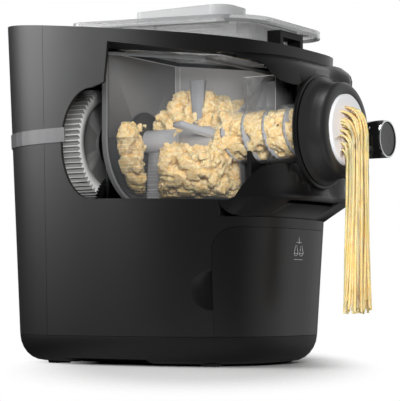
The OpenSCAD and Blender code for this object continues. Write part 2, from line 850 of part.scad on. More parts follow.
module drive_coupling() {
    color("#1c1d1f") placed() difference() {
        turned() polygon([[0, chamber_rear - 0.1], [12.5, chamber_rear - 0.1], [12.5, chamber_rear + 4.6],
            [26, chamber_rear + 4.6], [26, chamber_rear + 7], [24.4, hub_x[0]], [0, hub_x[0]]]);
        along_x(chamber_rear - 2, hub_x[0] + 1) translate([0, axis_z]) square(9, center = true);
    }
}

paddle_r = chamber_r - 1;
hub_x = [chamber_rear + 9, 62];

// One flat blade on the hub: its place along the axis, its angle about the axis, its lean, and its widths
module blade(x, turn, lean, root_w, tip_w) {
    translate([x, 0, axis_z]) rotate([turn, 0, 0]) rotate([0, lean, 0]) intersection() {
        along_y(-2, 2) polygon([[-root_w / 2, 6], [root_w / 2, 6], [tip_w / 2, paddle_r],
            [-tip_w / 2, paddle_r]]);
        rotate([90, 0, 0]) cylinder(h = 10, r = paddle_r - 0.6, center = true);
    }
}

module paddle_solid() {
    difference() {
        union() {
            rod(hub_x[0], 11, 10);
            rod(10, hub_x[1] - 20, 8);
            turned() polygon([[0, 16], [8, 16], [11, 22], [11, 44], [9, 54], [7.4, hub_x[1]], [0, hub_x[1]]]);
            blade(-12, 180, -3, 12, 14);
            blade(31, 0, 0, 6, 14.5);
            blade(55, 80, -16, 8, 11);
            blade(4, -80, 8, 12, 13);
        }
        along_x(hub_x[0] - 1, 4.5) translate([0, axis_z]) square(9.1, center = true);
    }
}

module mixing_paddle() {
    color("#9b9ea3") placed() paddle_solid();
}

// A point of the screw's flight: its turn about the axis, its radius and its place along the pitch
function flight_point(t, r, dx) =
    [screw_start + screw_pitch * t / 360 + dx, r * cos(t + screw_turn), r * sin(t + screw_turn)];
screw_start = 66;
screw_turn = 150;
screw_end = 162;

module screw_solid() {
    turns = (screw_end - 5 - screw_start) / screw_pitch;
    steps = floor(turns * 24);
    flight_r = tube_r - 0.5;
    rod(hub_x[1], screw_end, 7.4);
    turned() polygon([[0, screw_end - eps], [7.4, screw_end - eps], [2, screw_end + 3], [0, screw_end + 3]]);
    translate([0, 0, axis_z]) loft([for (k = [0:steps]) let (t = 360 * turns * k / steps)
        [flight_point(t, 6.6, 2), flight_point(t, flight_r, 1.1), flight_point(t, flight_r, -1.1),
         flight_point(t, 6.6, -2)]]);
}

module extrusion_screw() {
    color("#aeb1b5") placed() screw_solid();
}

// Dough in the trough and in the tube, packed round the paddle and the screw, which carry it round
module dough_charge() {
    heap_r = paddle_r - 2;
    heap_end = chamber_front - 4;
    color("#e6c98c") placed() difference() {
        union() {
            intersection() {
                rod(hub_x[0] + 0.5, heap_end, heap_r);
                union() {
                    block([-40, 80], [-60, 60], [130, 196]);
                    translate([14, 4, 200]) sphere(r = 36);
                    translate([50, 4, 196]) sphere(r = 30);
                }
            }
            rod(heap_end - eps, 158, tube_r - 1.9);
        }
        paddle_solid();
        screw_solid();
        rod(hub_x[0], 8, 7);
    }
}

module shaping_disc() {
    disc_flange = 33;
    color("#e9ebec") placed() difference() {
        turned() polygon([[0, tube_end + gap], [disc_flange, tube_end + gap], [disc_flange, 170.6],
            [disc_r, 170.6], [disc_r, disc_front - 0.6], [disc_r - 0.6, disc_front], [0, disc_front]]);
        turned() polygon([[0, tube_end], [tube_r, tube_end], [tube_r - 2, 170], [0, 170]]);
        // Rows of holes behind the strands
        for (row = [0:strand_rows - 1]) row_of_holes(row);
    }
}

module row_of_holes(row) {
    n = row_count(row);
    for (k = [0:2:n - 1]) rod(169, disc_front + 1, 0.9, strand_pitch * (k - (n - 1) / 2), row_z(row));
}

// Cross-section of one row of strands, which touch and stick together
module strand_section(row) {
    n = row_count(row);
    for (k = [0:n - 1]) translate([0, strand_pitch * (k - (n - 1) / 2)]) circle(r = strand_r);
}

module pasta_strands() {
    color("#f0d78e") placed() for (row = [0:strand_rows - 1]) {
        bend = row_bend(row);
        // Quarter bend out of the disc, then the hanging length
        translate([disc_front, 0, row_z(row) - bend]) rotate([90, 0, 0])
            rotate_extrude(angle = 90) translate([bend, 0]) strand_section(row);
        translate([disc_front + bend, 0, strand_low + 2.5 * row])
            linear_extrude(row_z(row) - bend - strand_low - 2.5 * row)
            strand_section(row);
    }
}

module locking_ring() {
    bore_r = spigot_r + gap;
    rear = hoop_front + gap;
    color("#1f2023") placed() turned() polygon([[bore_r, rear], [flange_r - 3.4, rear],
        [flange_r - 2.6, rear + 0.8], [flange_r - 3.2, rear + 1.8], [ring_r + 3.2, rear + 4.5],
        [ring_r + 1.6, rear + 8], [ring_r + 0.5, rear + 14], [ring_r + 0.4, ring_front - 2],
        [ring_r - 1.4, ring_front], [disc_r + 2, ring_front], [disc_r + gap, ring_front - 1],
        [disc_r + gap, 170.9], [bore_r, 170.9]]);
}

// Drive

module idler_gear() {
    color("#b4b7ba") placed() spur_gear(gear_rear - 0.5, gear_front + 0.5, idler_teeth, drive_module,
        idler_shaft_r, idler_z);
}

module reduction_wheel() {
    color("#d9d3c2") placed() difference() {
        spur_gear(wheel_rear, wheel_rear + wheel_w, wheel_teeth, motor_module, idler_shaft_r, idler_z);
        for (x = [wheel_rear - 1, wheel_rear + wheel_w - 1.5]) tube(x, x + 2.5, 26, 9, 0, idler_z);
        for (k = [0:5]) translate([0, 0, idler_z]) rotate([60 * k, 0, 0])
            rod(wheel_rear - 1, wheel_rear + 9, 4.5, 0, 17.5);
    }
}

module idler_shaft() {
    color("#a9adb1") placed() rod(plate_rear - 1, bulkhead_front + 1.5, idler_shaft_r, 0, idler_z);
}

module motor_pinion() {
    color("#b08d4a") placed()
        spur_gear(wheel_rear - 0.5, wheel_rear + wheel_w + 0.5, pinion_teeth, motor_module, 3, motor_z, 15);
}

module motor_armature() {
    color("#8a5a3a") placed() {
        rod(wheel_rear - 0.5, 17, 3, 0, motor_z);
        difference() {
            rod(-34, -6, 20, 0, motor_z);
            for (k = [0:11]) translate([0, 0, motor_z]) rotate([30 * k, 0, 0])
                block([-35, -5], [-1.6, 1.6], [13, 21]);
        }
        rod(-4, 3, 9, 0, motor_z);
    }
}

module cooling_fan() {
    color("#2c2d30") placed() {
        tube(9.5, 16.5, 7, 3, 0, motor_z);
        for (k = [0:8]) translate([0, 0, motor_z]) rotate([40 * k, 0, 0])
            translate([13, 0, 6.5]) rotate([0, 0, 34]) translate([-3.4, -0.8, 0]) cube([6.8, 1.6, 17]);
    }
}

// Lid

function lid_height(x) = lid_z - lid_fall * x;

module lid() {
    plate = 3;
    edge = 6;
    skirt_x = [-22, 108];
    skirt_y = [-46, 46];
    color([0.85, 0.88, 0.9, 0.35]) placed() difference() {
        union() {
            // Plate with its edge turned down
            intersection() {
                translate([0, 0, 200]) linear_extrude(120)
                    round_plate([lid_rear, lid_front], [-lid_half, lid_half], 16, 34);
                difference() {
                    above(lid_z - edge, lid_fall);
                    above(lid_z, lid_fall);
                }
            }
            // Skirt that reaches down to the chamber
            intersection() {
                translate([0, 0, 200]) linear_extrude(120) round_plate(skirt_x, skirt_y, 6, 14);
                difference() {
                    above(rim_z - 12, rim_fall);
                    above(lid_z - plate, lid_fall);
                }
            }
        }
        // Hollow under the plate, outside the skirt
        intersection() {
            translate([0, 0, 200]) linear_extrude(120) difference() {
                round_plate([lid_rear + 2, lid_front - 2], [-lid_half + 2, lid_half - 2], 14, 32);
                round_plate(skirt_x, skirt_y, 6, 14);
            }
            difference() {
                above(lid_z - edge - 1, lid_fall);
                above(lid_z - plate, lid_fall);
            }
        }
        // Inside of the skirt
        intersection() {
            translate([0, 0, 200]) linear_extrude(120)
                round_plate([skirt_x[0] + 2, skirt_x[1] - 2], [skirt_y[0] + 2, skirt_y[1] - 2], 4, 12);
            difference() {
                above(rim_z - 40, rim_fall);
                above(lid_z - plate, lid_fall);
            }
        }
        // Filling opening under the inlet cover
        translate([0, 0, 260]) linear_extrude(60) round_plate([-4, 62], [-20, 6], 6, 10);
    }
}

module inlet_cover() {
    cover_x = [-15, 77];
    cover_y = [-31, 14];
    color([0.86, 0.86, 0.86, 0.5]) placed() intersection() {
        difference() {
            translate([0, 0, 260]) linear_extrude(inlet_top - 260) round_plate(cover_x, cover_y, 8, 15);
            translate([0, 0, 250]) linear_extrude(inlet_top - 252)
                round_plate([cover_x[0] + 2, cover_x[1] - 2], [cover_y[0] + 2, cover_y[1] - 2], 6, 13);
        }
        above(lid_z + gap, lid_fall);
    }
}

// Drawer and fasteners

module storage_drawer() {
    box_x = [24, 200];
    box_half = 69;
    runner_half = 73;
    color("#34363a") placed() difference() {
        intersection() {
            housing_solid(0, seam_z + gap, 0);
            union() {
                along_y(-far_out, far_out) drawer_outline(0);
                block(box_x, [-box_half, box_half], [28, 96]);
                block([30, 86], [-runner_half, runner_half], [36.4, 39]);
            }
        }
        difference() {
            housing_solid(wall, seam_z - 1, 0);
            block(box_x, [-box_half, box_half], [28, 96]);
            block([30, 86], [-runner_half, runner_half], [36.4, 39]);
        }
        intersection() {
            housing_solid(wall + 2, seam_z, 0);
            block([box_x[0] + 2, box_x[1]], [2 - box_half, box_half - 2], [30, 120]);
        }
    }
}

module housing_screws() {
    color("#7c7f83") placed() {
        for (p = foot_places) translate([p[0], p[1], 1]) {
            cylinder(h = 1.6, r = 2.2);
            cylinder(h = 9, r = 1.5);
        }
        for (s = [-1, 1]) {
            rod(bulkhead_front + 4, bulkhead_front + 6, 4, 33 * s, motor_z);
            rod(bulkhead_rear + 0.5, bulkhead_front + 4 + eps, 2.15, 33 * s, motor_z);
        }
    }
}

base_tray();
rubber_feet();
load_cells();
main_frame();
rear_cover();
side_cover_near();
side_cover_far();
trim_band();
top_deck();
front_frame();
lid_catch();
control_fascia();
display_window();
control_board();
power_board();
power_inlet();
drawer_rails();
gearbox_plate();
drive_housing();
shaft_bearings();
idler_bearings();
motor_housing();
mixing_chamber();
chamber_seal();
housing_screws();
drive_gear();
drive_shaft();
drive_coupling();
mixing_paddle();
extrusion_screw();
dough_charge();
reduction_wheel();
idler_gear();
idler_shaft();
motor_armature();
motor_pinion();
cooling_fan();
front_panel();
disc_holder();
shaping_disc();
pasta_strands();
locking_ring();
knob_stem();
control_knob();
knob_trim();
lid();
inlet_cover();
storage_drawer();
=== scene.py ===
import bpy, bmesh, json, math, random
from mathutils import Vector, Matrix, noise

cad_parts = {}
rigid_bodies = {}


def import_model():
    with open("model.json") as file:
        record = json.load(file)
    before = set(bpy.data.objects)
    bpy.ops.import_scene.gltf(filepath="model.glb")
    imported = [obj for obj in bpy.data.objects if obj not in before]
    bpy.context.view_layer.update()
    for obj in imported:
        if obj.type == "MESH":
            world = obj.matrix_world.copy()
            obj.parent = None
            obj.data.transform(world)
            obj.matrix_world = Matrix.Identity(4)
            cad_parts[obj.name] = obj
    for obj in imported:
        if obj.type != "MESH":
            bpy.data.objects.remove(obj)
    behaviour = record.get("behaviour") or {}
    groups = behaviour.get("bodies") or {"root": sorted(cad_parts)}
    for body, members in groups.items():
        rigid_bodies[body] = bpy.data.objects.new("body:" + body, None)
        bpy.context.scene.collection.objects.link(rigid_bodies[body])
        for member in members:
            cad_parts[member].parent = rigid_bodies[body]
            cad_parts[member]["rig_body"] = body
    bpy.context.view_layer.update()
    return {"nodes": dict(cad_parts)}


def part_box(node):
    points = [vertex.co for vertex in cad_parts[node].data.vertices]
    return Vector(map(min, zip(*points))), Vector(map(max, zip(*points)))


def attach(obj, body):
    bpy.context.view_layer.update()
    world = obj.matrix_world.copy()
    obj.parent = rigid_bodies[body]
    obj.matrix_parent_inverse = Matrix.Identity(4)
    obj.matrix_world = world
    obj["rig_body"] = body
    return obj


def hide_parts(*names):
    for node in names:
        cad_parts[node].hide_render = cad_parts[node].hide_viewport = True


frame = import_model()
nodes = frame["nodes"]
mm = 0.001
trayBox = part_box("base_tray")
shift = (trayBox[0].x + trayBox[1].x) / 2 / mm   # the housing's middle along X, in the shared frame
axisZ = 191.0                                    # height of the screw's axis


def at(x, y, z):
    # a place given from the housing's middle, in millimetres
    return Vector(((x + shift) * mm, y * mm, z * mm))


def placeObject(name, data):
    obj = bpy.data.objects.new(name, data)
    bpy.context.scene.collection.objects.link(obj)
    return obj


def meshFrom(bm, name):
    mesh = bpy.data.meshes.new(name)
    bm.to_mesh(mesh)
    bm.free()
    return mesh


def withModifiers(obj):
    # a new mesh with the object's modifiers applied
    return bpy.data.meshes.new_from_object(obj.evaluated_get(bpy.context.evaluated_depsgraph_get()))


# Camera, lights and floor

studio = {
    "cameraPlace": (789.5, -1187.3, 55.9),
    "azimuth": 32.5, "pitch": 3.347, "lens": 148.13, "sensor": 36, "nearest": 0.05, "furthest": 30,
    "worldLight": 0.3,       # light from all round
    "mirrorDark": 0.025,     # what shiny surfaces see of the dark room
    "mirrorBright": 0.75,    # and of the white wall behind on the right
    "mirrorWay": (0.7, 0.7, 0.14), "mirrorFrom": 0.35, "mirrorTo": 0.95,
    "floorTone": 0.48, "floorRough": 0.9, "floorSize": 1.6,
    "fadeFrom": 0.25, "fadeTo": 0.5, "fadeSideways": 3.2,
}

lamps = {
    "keyLeft": {"place": (-740, -520, 500), "aim": (0, -40, 190), "size": (0.75, 0.55), "power": 10.5},
    # the soft lamp on the cutaway doesn't show in shiny surfaces
    "windowSoft": {"place": (793, -1064, 371), "aim": (0, -50, 190), "size": (0.35, 0.35), "power": 18,
                   "mirrored": False},
    "topStrip": {"place": (-400, -260, 1150), "aim": (60, -40, 200), "size": (0.5, 0.5), "power": 5},
    "backSoft": {"place": (-300, 1300, 700), "aim": (0, 0, 150), "size": (1.4, 0.9), "power": 4},
}


def addCamera(s):
    cam = bpy.data.cameras.new("studioCamera")
    cam.lens = s["lens"]
    cam.sensor_width = s["sensor"]
    cam.clip_start, cam.clip_end = s["nearest"], s["furthest"]
    obj = placeObject("studioCamera", cam)
    obj.location = at(*s["cameraPlace"])
    obj.rotation_euler = (math.radians(90 + s["pitch"]), 0, math.radians(s["azimuth"]))
    bpy.context.scene.camera = obj


def addLamp(name, place, aim, size, power, mirrored=True):
    lamp = bpy.data.lights.new(name, "AREA")
    lamp.shape = "RECTANGLE"
    lamp.size, lamp.size_y = size
    lamp.energy = power
    obj = placeObject(name, lamp)
    obj.location = at(*place)
    obj.rotation_euler = (at(*aim) - at(*place)).to_track_quat("-Z", "Y").to_euler()
    obj.visible_glossy = mirrored


def mathNode(tree, operation, first, second):
    node = tree.nodes.new("ShaderNodeMath")
    node.operation = operation
    for socket, value in zip(node.inputs, (first, second)):
        if isinstance(value, (int, float)):
            socket.default_value = value
        else:
            tree.links.new(value, socket)
    return node.outputs[0]


def setRange(node, fromMin, fromMax, toMin, toMax):
    for label, value in (("From Min", fromMin), ("From Max", fromMax), ("To Min", toMin), ("To Max", toMax)):
        node.inputs[label].default_value = value


def addWorld(s):
    # white where the camera looks, soft grey light on the object, and for reflections a dark room
    # with a white wall on one side
    world = bpy.data.worlds.new("studioWorld")
    bpy.context.scene.world = world
    world.use_nodes = True
    tree = world.node_tree
    tree.nodes.clear()
    coord = tree.nodes.new("ShaderNodeTexCoord")
    back = tree.nodes.new("ShaderNodeVectorMath")
    back.operation = "DOT_PRODUCT"
    back.inputs[1].default_value = s["mirrorWay"]
    tree.links.new(coord.outputs["Generated"], back.inputs[0])
    wall = tree.nodes.new("ShaderNodeMapRange")
    wall.interpolation_type = "SMOOTHSTEP"
    setRange(wall, s["mirrorFrom"], s["mirrorTo"], s["mirrorDark"], s["mirrorBright"])
    tree.links.new(back.outputs["Value"], wall.inputs["Value"])
    path = tree.nodes.new("ShaderNodeLightPath")
    strength = s["worldLight"]
    for ray, value in (("Is Glossy Ray", wall.outputs[0]), ("Is Transmission Ray", 1.0),
                       ("Is Camera Ray", 1.0)):
        pick = tree.nodes.new("ShaderNodeMix")
        tree.links.new(path.outputs[ray], pick.inputs["Factor"])
        for label, source in (("A", strength), ("B", value)):
            if isinstance(source, float):
                pick.inputs[label].default_value = source
            else:
                tree.links.new(source, pick.inputs[label])
        strength = pick.outputs["Result"]
    light = tree.nodes.new("ShaderNodeBackground")
    light.inputs["Color"].default_value = (1, 1, 1, 1)
    tree.links.new(strength, light.inputs["Strength"])
    out = tree.nodes.new("ShaderNodeOutputWorld")
    tree.links.new(light.outputs[0], out.inputs[0])


def addFloor(s):
    # pale paper that fades into the white background away from the object
    bm = bmesh.new()
    bmesh.ops.create_grid(bm, x_segments=1, y_segments=1, size=s["floorSize"])
    obj = placeObject("floor", meshFrom(bm, "floor"))
    mat = bpy.data.materials.new("floorPaper")
    mat.use_nodes = True
    tree = mat.node_tree
    shader = tree.nodes["Principled BSDF"]
    shader.inputs["Base Color"].default_value = (s["floorTone"],) * 3 + (1,)
    shader.inputs["Roughness"].default_value = s["floorRough"]
    shader.inputs["Specular IOR Level"].default_value = 0.0
    coord = tree.nodes.new("ShaderNodeTexCoord")
    turned = tree.nodes.new("ShaderNodeMapping")
    turned.vector_type = "TEXTURE"
    turned.inputs["Rotation"].default_value = (0, 0, math.radians(s["azimuth"]))
    turned.inputs["Scale"].default_value = (1 / s["fadeSideways"], 1, 1)
    tree.links.new(coord.outputs["Object"], turned.inputs["Vector"])
    reach = tree.nodes.new("ShaderNodeVectorMath")
    reach.operation = "LENGTH"
    tree.links.new(turned.outputs[0], reach.inputs[0])
    fade = tree.nodes.new("ShaderNodeMapRange")
    fade.interpolation_type = "SMOOTHSTEP"
    setRange(fade, s["fadeFrom"], s["fadeTo"], 1.0, 0.0)
    tree.links.new(reach.outputs["Value"], fade.inputs["Value"])
    tree.links.new(fade.outputs[0], shader.inputs["Alpha"])
    obj.data.materials.append(mat)


bpy.context.scene.view_settings.view_transform = "Standard"
addCamera(studio)
addWorld(studio)
addFloor(studio)
for lampName, lampValues in lamps.items():
    addLamp(lampName, **lampValues)
print("studio ready")


# Shader groups

def newGroup(name, inputs, outputs):
    group = bpy.data.node_groups.new(name, "ShaderNodeTree")
    for label, kind, value in inputs:
        sock = group.interface.new_socket(name=label, in_out="INPUT", socket_type=kind)
        sock.default_value = value
    for label, kind in outputs:
        group.interface.new_socket(name=label, in_out="OUTPUT", socket_type=kind)
    entry = group.nodes.new("NodeGroupInput")
    leave = group.nodes.new("NodeGroupOutput")
    return group, entry, leave


def noiseNode(group, vector, scale, detail, rough=0.5):
    node = group.nodes.new("ShaderNodeTexNoise")
    node.inputs["Detail"].default_value = detail
    node.inputs["Roughness"].default_value = rough
    group.links.new(vector, node.inputs["Vector"])
    if isinstance(scale, (int, float)):
        node.inputs["Scale"].default_value = scale
    else:
        group.links.new(scale, node.inputs["Scale"])
    return node.outputs["Fac"]


def scaledTone(group, tone, gain):
    node = group.nodes.new("ShaderNodeVectorMath")
    node.operation = "SCALE"
    group.links.new(tone, node.inputs[0])
    group.links.new(gain, node.inputs["Scale"])
    return node.outputs[0]


def bumpNode(group, height, strength, distance):
    node = group.nodes.new("ShaderNodeBump")
    node.inputs["Distance"].default_value = distance
    group.links.new(strength, node.inputs["Strength"])
    group.links.new(height, node.inputs["Height"])
    return node.outputs[0]


def buildGrain():
    # fine spark-eroded texture with slow cloudy variation in tone and gloss
    group, entry, leave = newGroup(
        "mouldedGrain",
        [("Tone", "NodeSocketColor", (0.1, 0.1, 0.1, 1)), ("Grain Scale", "NodeSocketFloat", 1400),
         ("Variation", "NodeSocketFloat", 0.12), ("Roughness", "NodeSocketFloat", 0.45),
         ("Grain Depth", "NodeSocketFloat", 0.12)],
        [("Color", "NodeSocketColor"), ("Roughness", "NodeSocketFloat"), ("Normal", "NodeSocketVector")])
    cloudScale, grainHeight = 14, 0.0001
    coord = group.nodes.new("ShaderNodeTexCoord").outputs["Object"]
    fine = noiseNode(group, coord, entry.outputs["Grain Scale"], 2)
    slow = noiseNode(group, coord, cloudScale, 3)
    amount = mathNode(group, "MULTIPLY", mathNode(group, "SUBTRACT", slow, 0.5), entry.outputs["Variation"])
    tone = scaledTone(group, entry.outputs["Tone"], mathNode(group, "ADD", amount, 1.0))
    rough = mathNode(group, "ADD", mathNode(group, "MULTIPLY", amount, 0.6), entry.outputs["Roughness"])
    group.links.new(tone, leave.inputs["Color"])
    group.links.new(rough, leave.inputs["Roughness"])
    group.links.new(bumpNode(group, fine, entry.outputs["Grain Depth"], grainHeight), leave.inputs["Normal"])
    return group


def buildBrushed():
    # fine lines along one axis, with darker and rougher streaks
    group, entry, leave = newGroup(
        "brushedLines",
        [("Tone", "NodeSocketColor", (0.6, 0.6, 0.62, 1)), ("Stretch", "NodeSocketVector", (1, 1, 1)),
         ("Line Scale", "NodeSocketFloat", 300), ("Roughness", "NodeSocketFloat", 0.3),
         ("Depth", "NodeSocketFloat", 0.15)],
        [("Color", "NodeSocketColor"), ("Roughness", "NodeSocketFloat"), ("Normal", "NodeSocketVector")])
    coord = group.nodes.new("ShaderNodeTexCoord").outputs["Object"]
    streakContrast, streakDark, lineHeight = 0.6, 0.68, 0.0002
    scaled = group.nodes.new("ShaderNodeVectorMath")
    scaled.operation = "MULTIPLY"
    group.links.new(coord, scaled.inputs[0])
    group.links.new(entry.outputs["Stretch"], scaled.inputs[1])
    lines = noiseNode(group, scaled.outputs[0], entry.outputs["Line Scale"], 4)
    gain = mathNode(group, "ADD", mathNode(group, "MULTIPLY", lines, streakContrast), streakDark)
    rough = mathNode(group, "MULTIPLY", entry.outputs["Roughness"], gain)
    group.links.new(scaledTone(group, entry.outputs["Tone"], gain), leave.inputs["Color"])
    group.links.new(rough, leave.inputs["Roughness"])
    group.links.new(bumpNode(group, lines, entry.outputs["Depth"], lineHeight), leave.inputs["Normal"])
    return group


def buildFlouryShade():
    # floury crumb: pale tops and golden hollows, the golden partly the dough's own colour and partly painted
    # shade
    group, entry, leave = newGroup(
        "flouryShade",
        [("Pale", "NodeSocketColor", (0.9, 0.75, 0.45, 1)),
         ("Golden", "NodeSocketColor", (0.5, 0.32, 0.12, 1)),
         ("Relief", "NodeSocketFloat", 0.5), ("Crumb Scale", "NodeSocketFloat", 220),
         ("Depth", "NodeSocketFloat", 0.6)],
        [("Color", "NodeSocketColor"), ("Normal", "NodeSocketVector")])
    coord = group.nodes.new("ShaderNodeTexCoord").outputs["Object"]
    crumb = noiseNode(group, coord, entry.outputs["Crumb Scale"], 6, 0.65)
    goldenUpTo, paleFrom, crumbHeight = 0.72, 1.12, 0.0012
    ramp = group.nodes.new("ShaderNodeMapRange")
    setRange(ramp, goldenUpTo, paleFrom, 0.0, 1.0)
    group.links.new(mathNode(group, "ADD", crumb, entry.outputs["Relief"]), ramp.inputs["Value"])
    mix = group.nodes.new("ShaderNodeMix")
    mix.data_type = "RGBA"
    group.links.new(ramp.outputs[0], mix.inputs["Factor"])
    group.links.new(entry.outputs["Golden"], mix.inputs["A"])
    group.links.new(entry.outputs["Pale"], mix.inputs["B"])
    group.links.new(mix.outputs["Result"], leave.inputs["Color"])
    group.links.new(bumpNode(group, crumb, entry.outputs["Depth"], crumbHeight), leave.inputs["Normal"])
    return group


grainGroup = buildGrain()
brushedGroup = buildBrushed()
flouryShadeGroup = buildFlouryShade()


def startMaterial(name):
    mat = bpy.data.materials.new(name)
    mat.use_nodes = True
    return mat, mat.node_tree, mat.node_tree.nodes["Principled BSDF"]


def placeGroup(tree, group, shader, values):
    node = tree.nodes.new("ShaderNodeGroup")
    node.node_tree = group
    for label, value in values.items():
        node.inputs[label].default_value = value
    for label, target in (("Color", "Base Color"), ("Roughness", "Roughness"), ("Normal", "Normal")):
        if label in node.outputs:
            tree.links.new(node.outputs[label], shader.inputs[target])
    return node


def plastic(name, tone, rough=0.45, grain=1400, depth=0.12, variation=0.12, coat=0.0, specular=0.5):
    mat, tree, shader = startMaterial(name)
    placeGroup(tree, grainGroup, shader, {"Tone": (*tone, 1), "Roughness": rough, "Grain Scale": grain,
                                          "Grain Depth": depth, "Variation": variation})
    shader.inputs["Coat Weight"].default_value = coat
    shader.inputs["Coat Roughness"].default_value = 0.06
    shader.inputs["Specular IOR Level"].default_value = specular
    return mat


def metal(name, tone, rough=0.3, stretch=(1, 1, 1), scale=300, depth=0.15):
    mat, tree, shader = startMaterial(name)
    shader.inputs["Metallic"].default_value = 1.0
    placeGroup(tree, brushedGroup, shader, {"Tone": (*tone, 1), "Roughness": rough, "Stretch": stretch,
                                            "Line Scale": scale, "Depth": depth})
    return mat


def clearResin(name, tone, rough, facing, edge, power=2.0):
    # nearly invisible seen squarely, denser and brighter where the wall is seen along its surface
    mat, tree, shader = startMaterial(name)
    placeGroup(tree, grainGroup, shader, {"Tone": (*tone, 1), "Roughness": rough, "Grain Scale": 60,
                                          "Grain Depth": 0.02, "Variation": 0.04})
    layer = tree.nodes.new("ShaderNodeLayerWeight")
    layer.inputs["Blend"].default_value = 0.5
    turned = mathNode(tree, "POWER", layer.outputs["Facing"], power)
    share = mathNode(tree, "ADD", mathNode(tree, "MULTIPLY", turned, edge - facing), facing)
    tree.links.new(share, shader.inputs["Alpha"])
    return mat


def doughMaterial(name, pale, golden, scale, depth, soak):
    mat, tree, shader = startMaterial(name)
    node = placeGroup(tree, flouryShadeGroup, shader, {"Pale": (*pale, 1), "Golden": (*golden, 1),
                                                  "Crumb Scale": scale, "Depth": depth})
    # the relief makes the hollows more golden, partly the dough's own colour and partly painted shade
    relief = tree.nodes.new("ShaderNodeAttribute")
    relief.attribute_name = "relief"
    tree.links.new(relief.outputs["Fac"], node.inputs["Relief"])
    shader.inputs["Roughness"].default_value = 0.7
    shader.inputs["Specular IOR Level"].default_value = 0.3
    shader.inputs["Subsurface Weight"].default_value = soak
    shader.inputs["Subsurface Radius"].default_value = (1.0, 0.6, 0.25)
    shader.inputs["Subsurface Scale"].default_value = 0.004
    return mat


coverBlack = plastic("coverBlack", (0.006, 0.006, 0.0063), 0.43, specular=0.36)
frontBlack = plastic("frontBlack", (0.0045, 0.0045, 0.0048), 0.4, specular=0.4)
trayBlack = plastic("trayBlack", (0.005, 0.005, 0.0053), 0.5, specular=0.2)
ringBlack = plastic("ringBlack", (0.016, 0.016, 0.0165), 0.42, 1800, 0.06)
glossBlack = plastic("glossBlack", (0.004, 0.004, 0.0045), 0.12, 300, 0.01, 0.1, coat=1.0)
bandGrey = plastic("satinBand", (0.07, 0.07, 0.073), 0.36, 700, 0.06)
pressGrey = plastic("pressGrey", (0.38, 0.385, 0.4), 0.3, 500, 0.06)
# painted light: a paler copy of the paddle's grey for its lower blade
bladePaintedLight = plastic("bladePaintedLight", (0.72, 0.725, 0.74), 0.34, 500, 0.06)
gearPale = plastic("gearPale", (0.9, 0.9, 0.888), 0.34, 700, 0.06)
# painted shade: darker copies of the gear's plastic for the gaps between its teeth and for its dish
gearShade = plastic("gearShade", (0.33, 0.33, 0.326), 0.4, 700, 0.06)
gearDishShade = plastic("gearDishShade", (0.18, 0.18, 0.178), 0.36, 700, 0.06)
blackRubber = plastic("blackRubber", (0.008, 0.008, 0.008), 0.8, 900, 0.3)
discWhite = plastic("discWhite", (0.78, 0.79, 0.81), 0.38, 600, 0.05)
printGrey = plastic("printGrey", (0.42, 0.42, 0.42), 0.5, 900, 0.05)
knobFace = plastic("knobFace", (0.045, 0.045, 0.048), 0.4, 900, 0.1)
boardGreen = plastic("boardGreen", (0.012, 0.07, 0.03), 0.35, 200, 0.2, 0.5)
chamberGrey = plastic("chamberGrey", (0.55, 0.55, 0.555), 0.3, 60, 0.02, 0.2)
# painted highlight: a pale opaque grey for the chamber's near lip and lines on the box
clearEdgeHighlight = plastic("clearEdgeHighlight", (0.4, 0.405, 0.41), 0.2, 60, 0.02, 0.05)
sheetSteel = metal("sheetSteel", (0.5, 0.5, 0.52), 0.35, (1, 1, 0.1), 400)
zincSteel = metal("zincSteel", (0.35, 0.36, 0.38), 0.45, (1, 1, 1), 120)
brightRim = metal("brightRim", (0.85, 0.86, 0.87), 0.12, (1, 1, 1), 80, 0.02)
brassMetal = metal("brassMetal", (0.7, 0.5, 0.2), 0.3)
copperWire = metal("copperWire", (0.6, 0.25, 0.12), 0.4, (0.1, 1, 1), 900)
chamberClear = clearResin("chamberClear", (0.75, 0.77, 0.8), 0.05, 0.025, 0.5, 3.0)
# painted shade: the chamber's rear wall is a darker grey than its far wall
chamberRearShade = plastic("chamberRearShade", (0.17, 0.17, 0.172), 0.3, 60, 0.02, 0.2)
chamberRim = clearResin("chamberRim", (0.2, 0.2, 0.205), 0.12, 0.5, 0.9)
# painted highlight: the pale lines along the chamber's edges
highlightLine = plastic("highlightLine", (0.8, 0.805, 0.81), 0.2, 60, 0.02, 0.05)
# painted light: a lighter grey for the deck's wall in the cutaway
deckPaintedLight = plastic("deckPaintedLight", (0.11, 0.11, 0.112), 0.3, 200, 0.03)
# painted shade: a dark, nearly opaque sheet on the box's front over the press tube
chamberBoxShade = clearResin("chamberBoxShade", (0.13, 0.13, 0.131), 0.15, 0.75, 0.95)
lidClear = clearResin("lidClear", (0.42, 0.425, 0.43), 0.08, 0.22, 0.9, 1.5)
# painted dark lines on the lid's thin edges, for the light bent there
lidPaintedEdge = clearResin("lidPaintedEdge", (0.02, 0.0205, 0.021), 0.08, 0.75, 0.95, 1.5)
lidFrost = clearResin("lidFrost", (0.48, 0.485, 0.49), 0.4, 0.5, 0.9, 1.5)
doughCrumb = doughMaterial("doughCrumb", (0.98, 0.78, 0.46), (0.87, 0.57, 0.22), 520, 1.25, 0.25)
pastaDough = doughMaterial("pastaDough", (1.0, 0.71, 0.38), (0.98, 0.61, 0.24), 60, 0.1, 0.7)
print("materials ready")


# The machine's own solids, dressed

housing = {
    "rearHalf": 126.0, "rearLean": 0.048, "frontHalf": 126.0, "frontLean": 0.066,
    "sideHalf": 95.0, "sideLean": 0.033, "power": 2.9, "seam": 24.0,
    "panelSeam": 101.0, "panelFront": 150.0, "panelLean": 0.055,
    "fuller": 0.25, "fullerFrom": 20, "fullerOver": 30,   # the panel bulges more towards its far side
    "skinTouch": 0.25,       # a corner nearer the ideal skin than this gets the skin's own normal
    "skinAgree": 0.94,       # if its face points nearly the same way
    "probe": 0.05,           # half the step over which the skin's slope is taken
}


